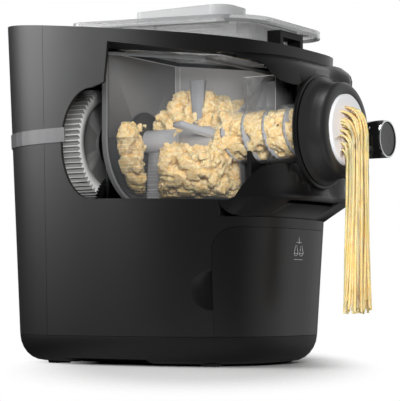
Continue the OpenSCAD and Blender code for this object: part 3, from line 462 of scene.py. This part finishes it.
def shellValue(h, place, forward):
    # 1 on the housing's outer skin, more outside it; forward is the skin of the front panel
    x, y, z = place
    rise = z - h["seam"]
    front = h["frontHalf"] + h["frontLean"] * rise
    if forward and x > h["panelSeam"]:
        reach = (h["panelFront"] + h["panelLean"] * (z - axisZ) - h["panelSeam"]) / (front - h["panelSeam"])
        fuller = 1 + h["fuller"] * max(0.0, min(1.0, (y - h["fullerFrom"]) / h["fullerOver"]))
        x = h["panelSeam"] + (x - h["panelSeam"]) / max(1.0, reach * fuller)
    along = front if x > 0 else h["rearHalf"] + h["rearLean"] * rise
    across = h["sideHalf"] + h["sideLean"] * rise
    return (abs(x) / along) ** h["power"] + (abs(y) / across) ** h["power"]


def skinNormal(h, place, forward):
    step = h["probe"]
    slope = []
    for axis in range(3):
        low, high = list(place), list(place)
        low[axis] -= step
        high[axis] += step
        slope.append((shellValue(h, high, forward) - shellValue(h, low, forward)) / (2 * step))
    slope = Vector(slope)
    if slope.length < 1e-7 or abs(shellValue(h, place, forward) - 1) / slope.length > h["skinTouch"]:
        return None
    return slope.normalized()


def followSkin(mesh, h, forward):
    # light runs over the covers as over one smooth shell
    found = [skinNormal(h, (v.co.x / mm - shift, v.co.y / mm, v.co.z / mm), forward) for v in mesh.vertices]
    normals = [(0, 0, 0)] * len(mesh.loops)
    for face in mesh.polygons:
        for corner in face.loop_indices:
            ideal = found[mesh.loops[corner].vertex_index]
            if ideal and ideal.dot(face.normal) > h["skinAgree"]:
                normals[corner] = ideal
    mesh.normals_split_custom_set(normals)


def linkPiece(mesh, name, body, replaced=()):
    obj = placeObject(name, mesh)
    if replaced:
        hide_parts(*replaced)
    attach(obj, body)
    return obj


mergeReach = 0.004   # corners of a solid's triangles nearer than this are one
sharpAngle = 32.0    # an edge folded more than this stays crisp


def copySolid(nodeName):
    # a merged copy of a node's triangles
    bm = bmesh.new()
    bm.from_mesh(nodes[nodeName].data)
    bmesh.ops.remove_doubles(bm, verts=bm.verts, dist=mergeReach * mm)
    return bm


def cutAway(mesh, blocks):
    # what lies in the blocks is taken off a solid; each block is its ranges along X, Y and Z
    obj = placeObject("blank", mesh)
    bm = bmesh.new()
    for ranges in blocks:
        low, high = at(*[r[0] for r in ranges]), at(*[r[1] for r in ranges])
        made = bmesh.ops.create_cube(bm, size=1)
        place = Matrix.Translation((low + high) / 2) @ Matrix.Diagonal((*(high - low), 1))
        bmesh.ops.transform(bm, matrix=place, verts=made["verts"])
    tool = placeObject("cutter", meshFrom(bm, "cutter"))
    cut = obj.modifiers.new("cut", "BOOLEAN")
    cut.operation, cut.solver, cut.object = "DIFFERENCE", "EXACT", tool
    left = withModifiers(obj)
    for each in (obj, tool):
        bpy.data.objects.remove(each)
    return left


def smoothFaces(bm):
    for f in bm.faces:
        f.smooth = True


def finishSolid(bm, nodeName, materials, skin=None, cuts=()):
    # the copy takes the node's place, with its materials and, on the covers, the skin's own normals
    smoothFaces(bm)
    mesh = meshFrom(bm, "dressed_" + nodeName)
    if cuts:
        mesh = cutAway(mesh, cuts)
    mesh.set_sharp_from_angle(angle=math.radians(sharpAngle))
    if skin:
        followSkin(mesh, housing, skin == "forward")
    for material in materials:
        mesh.materials.append(material)
    return linkPiece(mesh, "piece_" + nodeName, nodes[nodeName]["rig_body"], (nodeName,))


def middleOf(face):
    c = face.calc_center_median()
    return Vector((c.x / mm - shift, c.y / mm, c.z / mm))


finishes = {
    "base_tray": (trayBlack, "shell"), "rubber_feet": (blackRubber,), "load_cells": (sheetSteel,),
    "main_frame": (zincSteel,), "rear_cover": (coverBlack, "shell"), "side_cover_near": (coverBlack, "shell"),
    "side_cover_far": (coverBlack, "shell"), "trim_band": (bandGrey, "shell"),
    "lid_catch": (trayBlack,),
    "display_window": (glossBlack, "forward"), "control_board": (boardGreen,), "power_board": (boardGreen,),
    "power_inlet": (trayBlack,), "drawer_rails": (sheetSteel,), "gearbox_plate": (zincSteel,),
    "drive_housing": (trayBlack,), "shaft_bearings": (sheetSteel,), "idler_bearings": (sheetSteel,),
    "motor_housing": (sheetSteel,), "chamber_seal": (blackRubber,), "housing_screws": (sheetSteel,),
    "drive_shaft": (sheetSteel,), "drive_coupling": (ringBlack,),
    "extrusion_screw": (pressGrey,), "reduction_wheel": (trayBlack,),
    "idler_gear": (sheetSteel,), "idler_shaft": (sheetSteel,), "motor_armature": (copperWire,),
    "motor_pinion": (brassMetal,), "cooling_fan": (trayBlack,), "front_panel": (frontBlack, "forward"),
    "disc_holder": (trayBlack,), "shaping_disc": (discWhite,), "locking_ring": (ringBlack,),
    "knob_stem": (sheetSteel,), "inlet_cover": (lidFrost,),
    "storage_drawer": (frontBlack, "shell"),
}
for nodeName, finish in finishes.items():
    finishSolid(copySolid(nodeName), nodeName, finish[:1], skin=finish[1] if len(finish) > 1 else None)
print("solids dressed")


# The wall behind the front unit is cut down to the cradle under the press tube, so the chamber is in view
cradle = {
    "x": (88, 100), "top": 132.0, "half": 20.0, "nearest": -130,
    "farPost": 53.9, "bar": (252.45, 255.55), "barEnd": -60, "roof": 275.0,
}


def dressFrontFrame(c):
    barLow, barHigh = c["bar"]
    finishSolid(copySolid("front_frame"), "front_frame", (coverBlack,), skin="shell", cuts=(
        (c["x"], (c["nearest"], -c["half"]), (c["top"], barLow)),
        (c["x"], (c["nearest"], c["barEnd"]), (barHigh, c["roof"])),
        (c["x"], (c["half"], c["farPost"]), (c["top"], barLow))))


dressFrontFrame(cradle)


deck = {"openingHalf": 56.0, "facing": 0.9}


def dressDeck(d):
    # the deck's wall along the chamber's opening is painted a lighter grey where the cutaway bares it, as
    # painted light on a wall that lies in shade
    bm = copySolid("top_deck")
    for f in bm.faces:
        if f.normal.y < -d["facing"] and abs(middleOf(f).y) < d["openingHalf"]:
            # these faces get the painted light
            f.material_index = 1
    finishSolid(bm, "top_deck", (trayBlack, deckPaintedLight), skin="shell")


dressDeck(deck)


# Control knob, a little wider than its solid: what lies outside a radius round its axis moves out
knob = {
    "front": 181.0, "y": 62.0, "z": 188.5, "solidRadius": 14.4, "radius": 16.0, "barrelFrom": 10.0,
    "faceDepth": 1.5, "bossFrom": 126.5, "bossRadius": 14.0, "bossReach": 0.1,
}


def widen(bm, k, innermost, outermost=math.inf):
    # everything round the knob's axis between two radii grows outwards by the same amount
    for v in bm.verts:
        y, z = v.co.y / mm - k["y"], v.co.z / mm - k["z"]
        away = math.hypot(y, z)
        if innermost < away < outermost and v.co.x / mm - shift > k["bossFrom"]:
            gain = (away + k["radius"] - k["solidRadius"]) / away
            v.co.y, v.co.z = (k["y"] + y * gain) * mm, (k["z"] + z * gain) * mm


def dressKnob(k):
    # glossy barrel with a satin face set in it and a bright rim, on its boss
    bm = copySolid("control_knob")
    widen(bm, k, k["barrelFrom"])
    for f in bm.faces:
        if f.normal.x > 0.99 and middleOf(f).x > k["front"] - k["faceDepth"]:
            f.material_index = 1
    finishSolid(bm, "control_knob", (glossBlack, knobFace))
    bm = copySolid("knob_trim")
    widen(bm, k, k["barrelFrom"])
    finishSolid(bm, "knob_trim", (brightRim,))
    bm = copySolid("control_fascia")
    widen(bm, k, k["bossRadius"] - k["bossReach"], k["bossRadius"] + k["bossReach"])
    finishSolid(bm, "control_fascia", (glossBlack,), skin="forward")


dressKnob(knob)


# Drive gear, paddle and lid: some of their faces get a second material, which paints shade on the gear, light
# on the paddle's lower blade and dark lines on the lid's edges

gear = {"rootFrom": 45.5, "tipFrom": 48.9, "dish": 38.6}


def dressGear(g):
    # bright tooth tips and rim, painted shade in the gaps between the teeth and in the dish
    bm = copySolid("drive_gear")
    for f in bm.faces:
        p = middleOf(f)
        away = math.hypot(p.y, p.z - axisZ)
        # faces in the gaps between the teeth and in the dish get painted shade
        if g["rootFrom"] < away < g["tipFrom"] and abs(f.normal.x) < 0.5:
            f.material_index = 1
        elif away < g["dish"] and f.normal.x > -0.5:
            f.material_index = 2
    finishSolid(bm, "drive_gear", (gearPale, gearShade, gearDishShade))


dressGear(gear)


paddle = {"lowerBlade": 178.0}


def dressPaddle(p):
    # the blade hanging below the hub is painted paler, as painted light where it sits in the dough's shade
    bm = copySolid("mixing_paddle")
    for f in bm.faces:
        # the lower blade's faces get the painted light
        if middleOf(f).z < p["lowerBlade"]:
            f.material_index = 1
    finishSolid(bm, "mixing_paddle", (pressGrey, bladePaintedLight))


dressPaddle(paddle)


lid = {"fall": 0.125, "thin": 5.0}   # the plates fall towards the front; an edge lower than thin is painted dark


def dressLid(d):
    # clear plates, their thin edges painted dark where light bends through the clear plastic
    bm = copySolid("lid")
    for f in bm.faces:
        levels = [v.co.z / mm + d["fall"] * v.co.x / mm for v in f.verts]
        # thin edge faces get the painted dark line
        if abs(f.normal.z) < 0.4 and max(levels) - min(levels) < d["thin"]:
            f.material_index = 1
    finishSolid(bm, "lid", (lidClear, lidPaintedEdge))


dressLid(lid)
print("gear, paddle and lid dressed")


# The chamber: clear towards the cutaway, smoky behind, with its rear wall and the box's front painted dark as
# painted shade, and thin pale lines along its rear edges and its box as painted highlights

chamber = {
    "rearInside": -26.0, "flangeFront": -24.9, "flangeEdge": -24.7, "radius": 52.2, "flangeFrom": 55.7,
    "smokyFrom": 4.0, "rimTop": 264.3, "rimFall": 0.125, "lipLow": 257.5, "glintLine": 0.45,
    "boxEnd": 115.5, "boxLow": 217.0,
    "box": (88.0, 118.0), "boxSide": 18.0, "boxTop": 238.0, "boxFoot": 208.0,
}
chamberSkins = {
    "clear": chamberClear, "farWall": chamberGrey, "lip": clearEdgeHighlight, "boxFront": chamberBoxShade,
    "rearWall": chamberRearShade, "rearRim": chamberRim, "glintLine": highlightLine,
}
skinIndex = {skinName: k for k, skinName in enumerate(chamberSkins)}


def chamberSkin(c, face):
    p, n = middleOf(face), face.normal
    # the box's front faces are painted dark, as painted shade
    if p.x > c["boxEnd"] and p.z > c["boxLow"]:
        return "boxFront"
    if p.x < c["flangeEdge"] and abs(n.x) < 0.3 and math.hypot(p.y, p.z - axisZ) > c["flangeFrom"]:
        return "rearRim"
    # the rear wall's inside is painted darker, as painted shade
    if p.x < c["flangeFront"] and abs(n.x) > 0.9:
        return "rearWall"
    # the near lip's faces are painted pale, as the painted highlight along the clear edge
    if p.z > c["lipLow"] - c["rimFall"] * p.x and p.y < 0 and abs(n.z) < 0.5:
        return "lip"
    return "farWall" if p.y > c["smokyFrom"] else "clear"


def addGlintLine(bm, start, end, width, skinName="glintLine"):
    # a thin rounded line along an edge, a painted highlight
    start, end = at(*start), at(*end)
    along = end - start
    made = bmesh.ops.create_cone(bm, cap_ends=True, segments=8, radius1=width * mm, radius2=width * mm,
                                 depth=along.length)
    turn = Vector((0, 0, 1)).rotation_difference(along.normalized()).to_matrix().to_4x4()
    bmesh.ops.transform(bm, matrix=Matrix.Translation((start + end) / 2) @ turn, verts=made["verts"])
    for v in made["verts"]:
        for f in v.link_faces:
            f.material_index = skinIndex[skinName]


def dressChamber(c):
    bm = copySolid("mixing_chamber")
    for f in bm.faces:
        f.material_index = skinIndex[chamberSkin(c, f)]
    # painted highlight lines along the rear wall's top and its far corner
    inside, width = c["rearInside"] + c["glintLine"], c["glintLine"]
    half, top = c["radius"] - 0.2, c["rimTop"] - 0.6
    addGlintLine(bm, (inside, -half, top), (inside, half, top), width)
    addGlintLine(bm, (inside, half - 1, axisZ), (inside, half - 1, top), width)
    addGlintLine(bm, (inside + 4, half, axisZ), (inside + 4, half, top - 1), width)
    # and painted highlight lines along the box over the press tube
    (left, right), side, roof, foot = c["box"], c["boxSide"], c["boxTop"], c["boxFoot"]
    addGlintLine(bm, (left, -side, roof), (right, -side, roof), width * 0.8)
    addGlintLine(bm, (right, -side, roof), (right, side, roof), width * 0.8, "lip")
    addGlintLine(bm, (right, -side, foot), (right, -side, roof), width * 0.5, "lip")
    finishSolid(bm, "mixing_chamber", chamberSkins.values())


dressChamber(chamber)
print("chamber dressed")


# Pasta strands: each leaves its own hole, bends over and hangs

strands = {
    "seed": 7, "radius": 0.98, "sides": 8,
    "counts": (5, 7, 8, 9, 9, 9, 8, 7, 4),   # strands in each row of holes, from the lowest
    "discFront": 176.0, "halfWidth": 15.5, "outerRow": 0.6, "lowestHole": 170.0, "highestHole": 208.5,
    "holeDepth": 1.5, "straight": 0.6, "bendSteps": 8, "fallSteps": 18,
    "nearestHang": 178.7, "hangDepth": 10.8, "hangAround": 0.7, "bendDrop": (1.2, 1.9), "leastDrop": 4.0,
    "gather": 0.86, "gatherAround": (-0.06, 0.03),   # the strands draw together below the disc
    "endLow": 42.3, "endSpread": 13.0, "wave": 0.5, "lean": (-3.6, 3.4),
    "fan": (0.15, 0.5), "fanAround": 2,
    "holeAcross": 0.5, "holeUp": 1.2, "thickness": (0.92, 1.1), "relief": 0.4,
}


def strandPath(s, rng, y, z):
    # higher holes hang further out
    reach = (z - s["lowestHole"]) / (s["highestHole"] - s["lowestHole"])
    hang = s["nearestHang"] + s["hangDepth"] * reach + rng.uniform(-s["hangAround"], s["hangAround"])
    bend, straight = hang - s["discFront"], s["straight"]
    gather = s["gather"] * (1.0 + rng.uniform(*s["gatherAround"]))
    drop = max(s["leastDrop"], bend * rng.uniform(*s["bendDrop"]))
    leaves = s["discFront"] + straight
    points = [(s["discFront"] - s["holeDepth"], y, z), (leaves, y, z + 0.1)]
    for k in range(1, s["bendSteps"] + 1):
        f = k / s["bendSteps"]
        a = math.radians(90 * f)
        points.append((leaves + (bend - straight) * math.sin(a), y * (1 - (1 - gather) * f),
                       z - drop * (1 - math.cos(a))))
    low = s["endLow"] + rng.random() ** 1.5 * s["endSpread"]
    top = z - drop
    phase, lean = rng.uniform(0, 6.28), rng.uniform(*s["lean"])
    fan = y * rng.uniform(*s["fan"]) + rng.uniform(-s["fanAround"], s["fanAround"])
    for k in range(1, s["fallSteps"] + 1):
        f = k / s["fallSteps"]
        points.append((hang + s["wave"] * math.sin(phase + 6 * f) * f + lean * f * f,
                       y * gather + s["wave"] * math.cos(phase + 5 * f) * f + fan * f * f,
                       top + (low - top) * f))
    return [at(*p) for p in points]


def sweepStrand(bm, path, radius, sides):
    # a ring of edges is carried along the path and its end is rounded off
    start = bmesh.ops.create_circle(bm, cap_ends=True, segments=sides, radius=radius)
    verts = start["verts"]
    face = verts[0].link_faces[0]
    placeNow = None
    for k, p in enumerate(path):
        before, after = path[max(k - 1, 0)], path[min(k + 1, len(path) - 1)]
        turn = Vector((0, 0, 1)).rotation_difference((after - before).normalized()).to_matrix().to_4x4()
        place = Matrix.Translation(p) @ turn
        if placeNow is not None:
            made = bmesh.ops.extrude_face_region(bm, geom=[face])
            face = [g for g in made["geom"] if isinstance(g, bmesh.types.BMFace)][0]
            verts = list(face.verts)
            bmesh.ops.transform(bm, matrix=place @ placeNow.inverted(), verts=verts)
        else:
            bmesh.ops.transform(bm, matrix=place, verts=verts)
        placeNow = place
    bmesh.ops.inset_individual(bm, faces=[face], thickness=radius * 0.35, depth=radius * 0.3)


def makeStrands(s):
    rng = random.Random(s["seed"])
    bm = bmesh.new()
    one = bpy.data.meshes.new("oneStrand")
    topRow = len(s["counts"]) - 1
    for row, count in enumerate(s["counts"]):
        z = s["lowestHole"] + (s["highestHole"] - s["lowestHole"]) * (row / topRow)
        half = s["halfWidth"] * (1.0 if 0 < row < topRow else s["outerRow"])
        for k in range(count):
            y = half * (2 * (k + 0.5) / count - 1)
            holeY = y + rng.uniform(-s["holeAcross"], s["holeAcross"])
            holeZ = z + rng.uniform(-s["holeUp"], s["holeUp"])
            path = strandPath(s, rng, holeY, holeZ)
            single = bmesh.new()
            sweepStrand(single, path, s["radius"] * mm * rng.uniform(*s["thickness"]), s["sides"])
            single.to_mesh(one)
            single.free()
            bm.from_mesh(one)
    bmesh.ops.recalc_face_normals(bm, faces=bm.faces)
    smoothFaces(bm)
    relief = bm.verts.layers.float.new("relief")
    for v in bm.verts:
        v[relief] = s["relief"]
    mesh = meshFrom(bm, "pastaStrands")
    mesh.materials.append(pastaDough)
    return linkPiece(mesh, "pastaStrands", "front_unit", ("pasta_strands",))


makeStrands(strands)
print("strands hung")


# Dough: a heap of crumbs fused together, with loose crumbs on top

dough = {
    "seed": 11, "voxel": 1.25, "smoothings": 4,
    "rearX": -19.0, "frontX": 70.6, "troughRadius": 51.4, "tubeRadius": 20.6,
    # lumps fill the heap up to its top, a finer layer follows the top, and others fill the tube
    "lumps": 1500, "lumpSize": (3.8, 7.5), "lumpAcross": (-52, 52), "lumpLevel": (138, 240),
    "contourLumps": 700, "contourSize": (1.6, 4.0), "contourAlong": (-15.0, 65.6), "contourAcross": (-46, 40),
    "tubeLumps": 620, "tubeSize": (3.4, 5.0), "tubeAlong": (62.6, 153.0), "tubeSpread": 20.0,
    "flatter": (0.7, 1.25),   # how far a lump is squeezed across its length
    # relief pushed out of the fused surface, and how it tells in colour: lower relief is more golden, partly
    # as painted shade
    "coarse": 2.3, "fine": 1.0, "coarseScale": 210, "fineScale": 640,
    "reliefFrom": 0.45, "reliefCoarse": 0.25, "reliefFine": 0.45,
    "crumbs": 2000, "crumbSize": (0.4, 1.1), "crumbLonger": (1.0, 2.4), "crumbRelief": 0.8,
    # the way that the lower blade keeps free towards the cutaway: its slant and its sides
    "slotSlant": 0.637, "slot": (-23.0, -8.5), "wallBank": 14.0, "wallBankTo": -11.0,
    # tops of the heap behind the hub: place along X, height over the axis, spread
    "mounds": ((-8, 30, 12), (8, 44, 13), (22, 46, 12), (38, 40, 11), (52, 34, 12), (64, 24, 12)),
    # top of the heap in front of the hub, rising towards the tube
    "frontTop": -17.0, "frontWave": 2.0, "frontRise": 36.0, "riseFrom": 42.0, "riseOver": 20.0,
    "riseTop": 36.0, "behindFrom": -10.0, "behindTo": 6.0,
}


def heapTop(s, x, y):
    # low in front of the hub, high behind it
    behind = max(0.0, min(1.0, (y - s["behindFrom"]) / (s["behindTo"] - s["behindFrom"])))
    rise = s["frontRise"] * max(0.0, (x + s["slotSlant"] * y - s["riseFrom"]) / s["riseOver"])
    front = s["frontTop"] + s["frontWave"] * math.sin(x * 0.21) + min(rise, s["riseTop"])
    if x < s["wallBankTo"]:
        front = s["wallBank"]
    high = max(height * math.exp(-((x - place) / spread) ** 2) for place, height, spread in s["mounds"])
    return axisZ + front + behind * max(0.0, high - front)


def inSlot(s, x, y, r):
    # in front of the lower blade, along the line on which it is seen
    line = x + s["slotSlant"] * y
    return y < r and s["slot"][0] - r < line < s["slot"][1] + r


def keepInside(s, co, r=0.0):
    # crumbs never leave the chamber or the tube
    x = co.x / mm - shift
    limit = (s["troughRadius"] if x < s["frontX"] + 0.5 else s["tubeRadius"]) - r
    away = Vector((0, co.y, co.z - axisZ * mm))
    if away.length > limit * mm:
        away *= limit * mm / away.length
    nearest = at(s["rearX"] + r, 0, 0).x
    return Vector((max(co.x, nearest), away.y, away.z + axisZ * mm))


def ballMesh(name, detail):
    bm = bmesh.new()
    bmesh.ops.create_icosphere(bm, subdivisions=detail, radius=mm)
    return meshFrom(bm, name)


def addLump(s, bm, ball, centre, radius, rng, longer=1.0):
    # a ball, stretched and turned at random
    turn = Matrix.Rotation(rng.uniform(0, 3.1), 4, Vector((rng.random() - 0.5, rng.random() - 0.5, 0.4)))
    across = [radius * rng.uniform(*s["flatter"]) for k in range(2)]
    stretch = Matrix.Diagonal((longer * radius, *across, 1))
    place = Matrix.Translation(centre) @ turn @ stretch
    ball.transform(place)
    bm.from_mesh(ball)
    ball.transform(place.inverted())


def fuseLumps(bm, voxel):
    obj = placeObject("lumps", meshFrom(bm, "lumps"))
    remesh = obj.modifiers.new("fuse", "REMESH")
    remesh.mode = "VOXEL"
    remesh.voxel_size = voxel * mm
    fused = withModifiers(obj)
    bpy.data.objects.remove(obj)
    return fused


def heapLumps(s, rng, ball):
    bm = bmesh.new()
    placed = 0
    while placed < s["lumps"]:
        x, r = rng.uniform(s["rearX"], s["frontX"]), rng.uniform(*s["lumpSize"])
        y, z = rng.uniform(*s["lumpAcross"]), rng.uniform(*s["lumpLevel"])
        if inSlot(s, x, y, r):
            continue
        inTrough = x < s["frontX"] - r and math.hypot(y, z - axisZ) < s["troughRadius"] - r * 0.5
        if inTrough and z < heapTop(s, x, y) - r * 0.7:
            addLump(s, bm, ball, at(x, y, z), r, rng)
            placed += 1
    for k in range(s["contourLumps"]):
        x, y = rng.uniform(*s["contourAlong"]), rng.uniform(*s["contourAcross"])
        r = rng.uniform(*s["contourSize"])
        if not inSlot(s, x, y, r):
            addLump(s, bm, ball, keepInside(s, at(x, y, heapTop(s, x, y) - r), r), r, rng)
    for k in range(s["tubeLumps"]):
        x = rng.uniform(*s["tubeAlong"])
        a, d = rng.uniform(0, 6.283), s["tubeSpread"] * math.sqrt(rng.random())
        centre = at(x, d * math.cos(a), axisZ + d * math.sin(a))
        addLump(s, bm, ball, centre, rng.uniform(*s["tubeSize"]), rng)
    return bm


def pushRelief(s, bm):
    # coarse and fine relief, kept on each corner for the material, which paints the hollows golden, partly as
    # painted shade
    relief = bm.verts.layers.float.new("relief")
    moves = []
    for v in bm.verts:
        coarse = noise.fractal(v.co * s["coarseScale"], 0.9, 2.1, 3)
        fine = noise.noise(v.co * s["fineScale"])
        v[relief] = s["reliefFrom"] + s["reliefCoarse"] * coarse + s["reliefFine"] * fine
        moves.append(v.normal * (coarse * s["coarse"] + fine * s["fine"]) * mm)
    for v, move in zip(bm.verts, moves):
        v.co = keepInside(s, v.co + move)
    return relief


def scatterCrumbs(s, bm, rng):
    surface = [v.co.copy() for v in bm.verts]
    crumbBall = ballMesh("crumbBall", 1)
    for k in range(s["crumbs"]):
        r, longer = rng.uniform(*s["crumbSize"]), rng.uniform(*s["crumbLonger"])
        place = keepInside(s, surface[rng.randrange(len(surface))], r * longer)
        addLump(s, bm, crumbBall, place, r, rng, longer)


def makeDough(s):
    rng = random.Random(s["seed"])
    fused = fuseLumps(heapLumps(s, rng, ballMesh("lumpBall", 2)), s["voxel"])
    bm = bmesh.new()
    bm.from_mesh(fused)
    for k in range(s["smoothings"]):
        bmesh.ops.smooth_vert(bm, verts=bm.verts, factor=0.5,
                              use_axis_x=True, use_axis_y=True, use_axis_z=True)
    bm.normal_update()
    relief = pushRelief(s, bm)
    scatterCrumbs(s, bm, rng)
    smoothFaces(bm)
    for v in bm.verts:
        if v[relief] == 0.0:   # a crumb's corners
            v[relief] = s["crumbRelief"]
    mesh = meshFrom(bm, "doughHeap")
    mesh.materials.append(doughCrumb)
    return linkPiece(mesh, "doughHeap", "press_rotor", ("dough_charge",))


makeDough(dough)
print("dough heaped")


# Pictogram on the drawer: a plain pan balance over a bar

pictogram = {
    "y": -2.5, "postTop": 106.9, "beam": 100.5, "postFoot": 99.5, "pan": 91.5, "panAcross": 4.34,
    "bowl": 3.0, "bowlDeep": 2.0, "bowlSteps": 6, "barZ": 86.5, "barHalf": 7.0, "line": 0.36, "proud": 0.12,
}


def frontSurface(h, y, z):
    along = h["frontHalf"] + h["frontLean"] * (z - h["seam"])
    across = h["sideHalf"] + h["sideLean"] * (z - h["seam"])
    return along * (1 - (abs(y) / across) ** h["power"]) ** (1 / h["power"])


def strokeOnFront(bm, p, start, end):
    # a thin bar between two places (y, z) on the drawer's face
    across, up = end[0] - start[0], end[1] - start[1]
    made = bmesh.ops.create_cube(bm, size=1)
    size = (2 * p["proud"], math.hypot(across, up) + p["line"], p["line"])
    middle = ((start[0] + end[0]) / 2, (start[1] + end[1]) / 2)
    place = Matrix.Translation(at(frontSurface(housing, *middle), *middle))
    turn = Matrix.Rotation(math.atan2(up, across), 4, "X")
    stretch = Matrix.Diagonal((*[side * mm for side in size], 1))
    bmesh.ops.transform(bm, matrix=place @ turn @ stretch, verts=made["verts"])


def makePictogram(p):
    bm = bmesh.new()
    y, beam, pan, bowl = p["y"], p["beam"], p["pan"], p["bowl"]
    strokes = [((y, p["postTop"]), (y, p["postFoot"])),
               ((y - p["panAcross"], beam), (y + p["panAcross"], beam)),
               ((y - p["barHalf"], p["barZ"]), (y + p["barHalf"], p["barZ"]))]
    for middle in (y - p["panAcross"], y + p["panAcross"]):
        left, right = (middle - bowl, pan), (middle + bowl, pan)
        strokes += [((middle, beam), left), ((middle, beam), right), (left, right)]
        curve = [math.pi * k / p["bowlSteps"] for k in range(p["bowlSteps"] + 1)]
        rim = [(middle - bowl * math.cos(a), pan - p["bowlDeep"] * math.sin(a)) for a in curve]
        strokes += list(zip(rim, rim[1:]))
    for start, end in strokes:
        strokeOnFront(bm, p, start, end)
    mesh = meshFrom(bm, "balancePictogram")
    mesh.materials.append(printGrey)
    return linkPiece(mesh, "balancePictogram", "drawer", ())


makePictogram(pictogram)
print("pictogram printed")
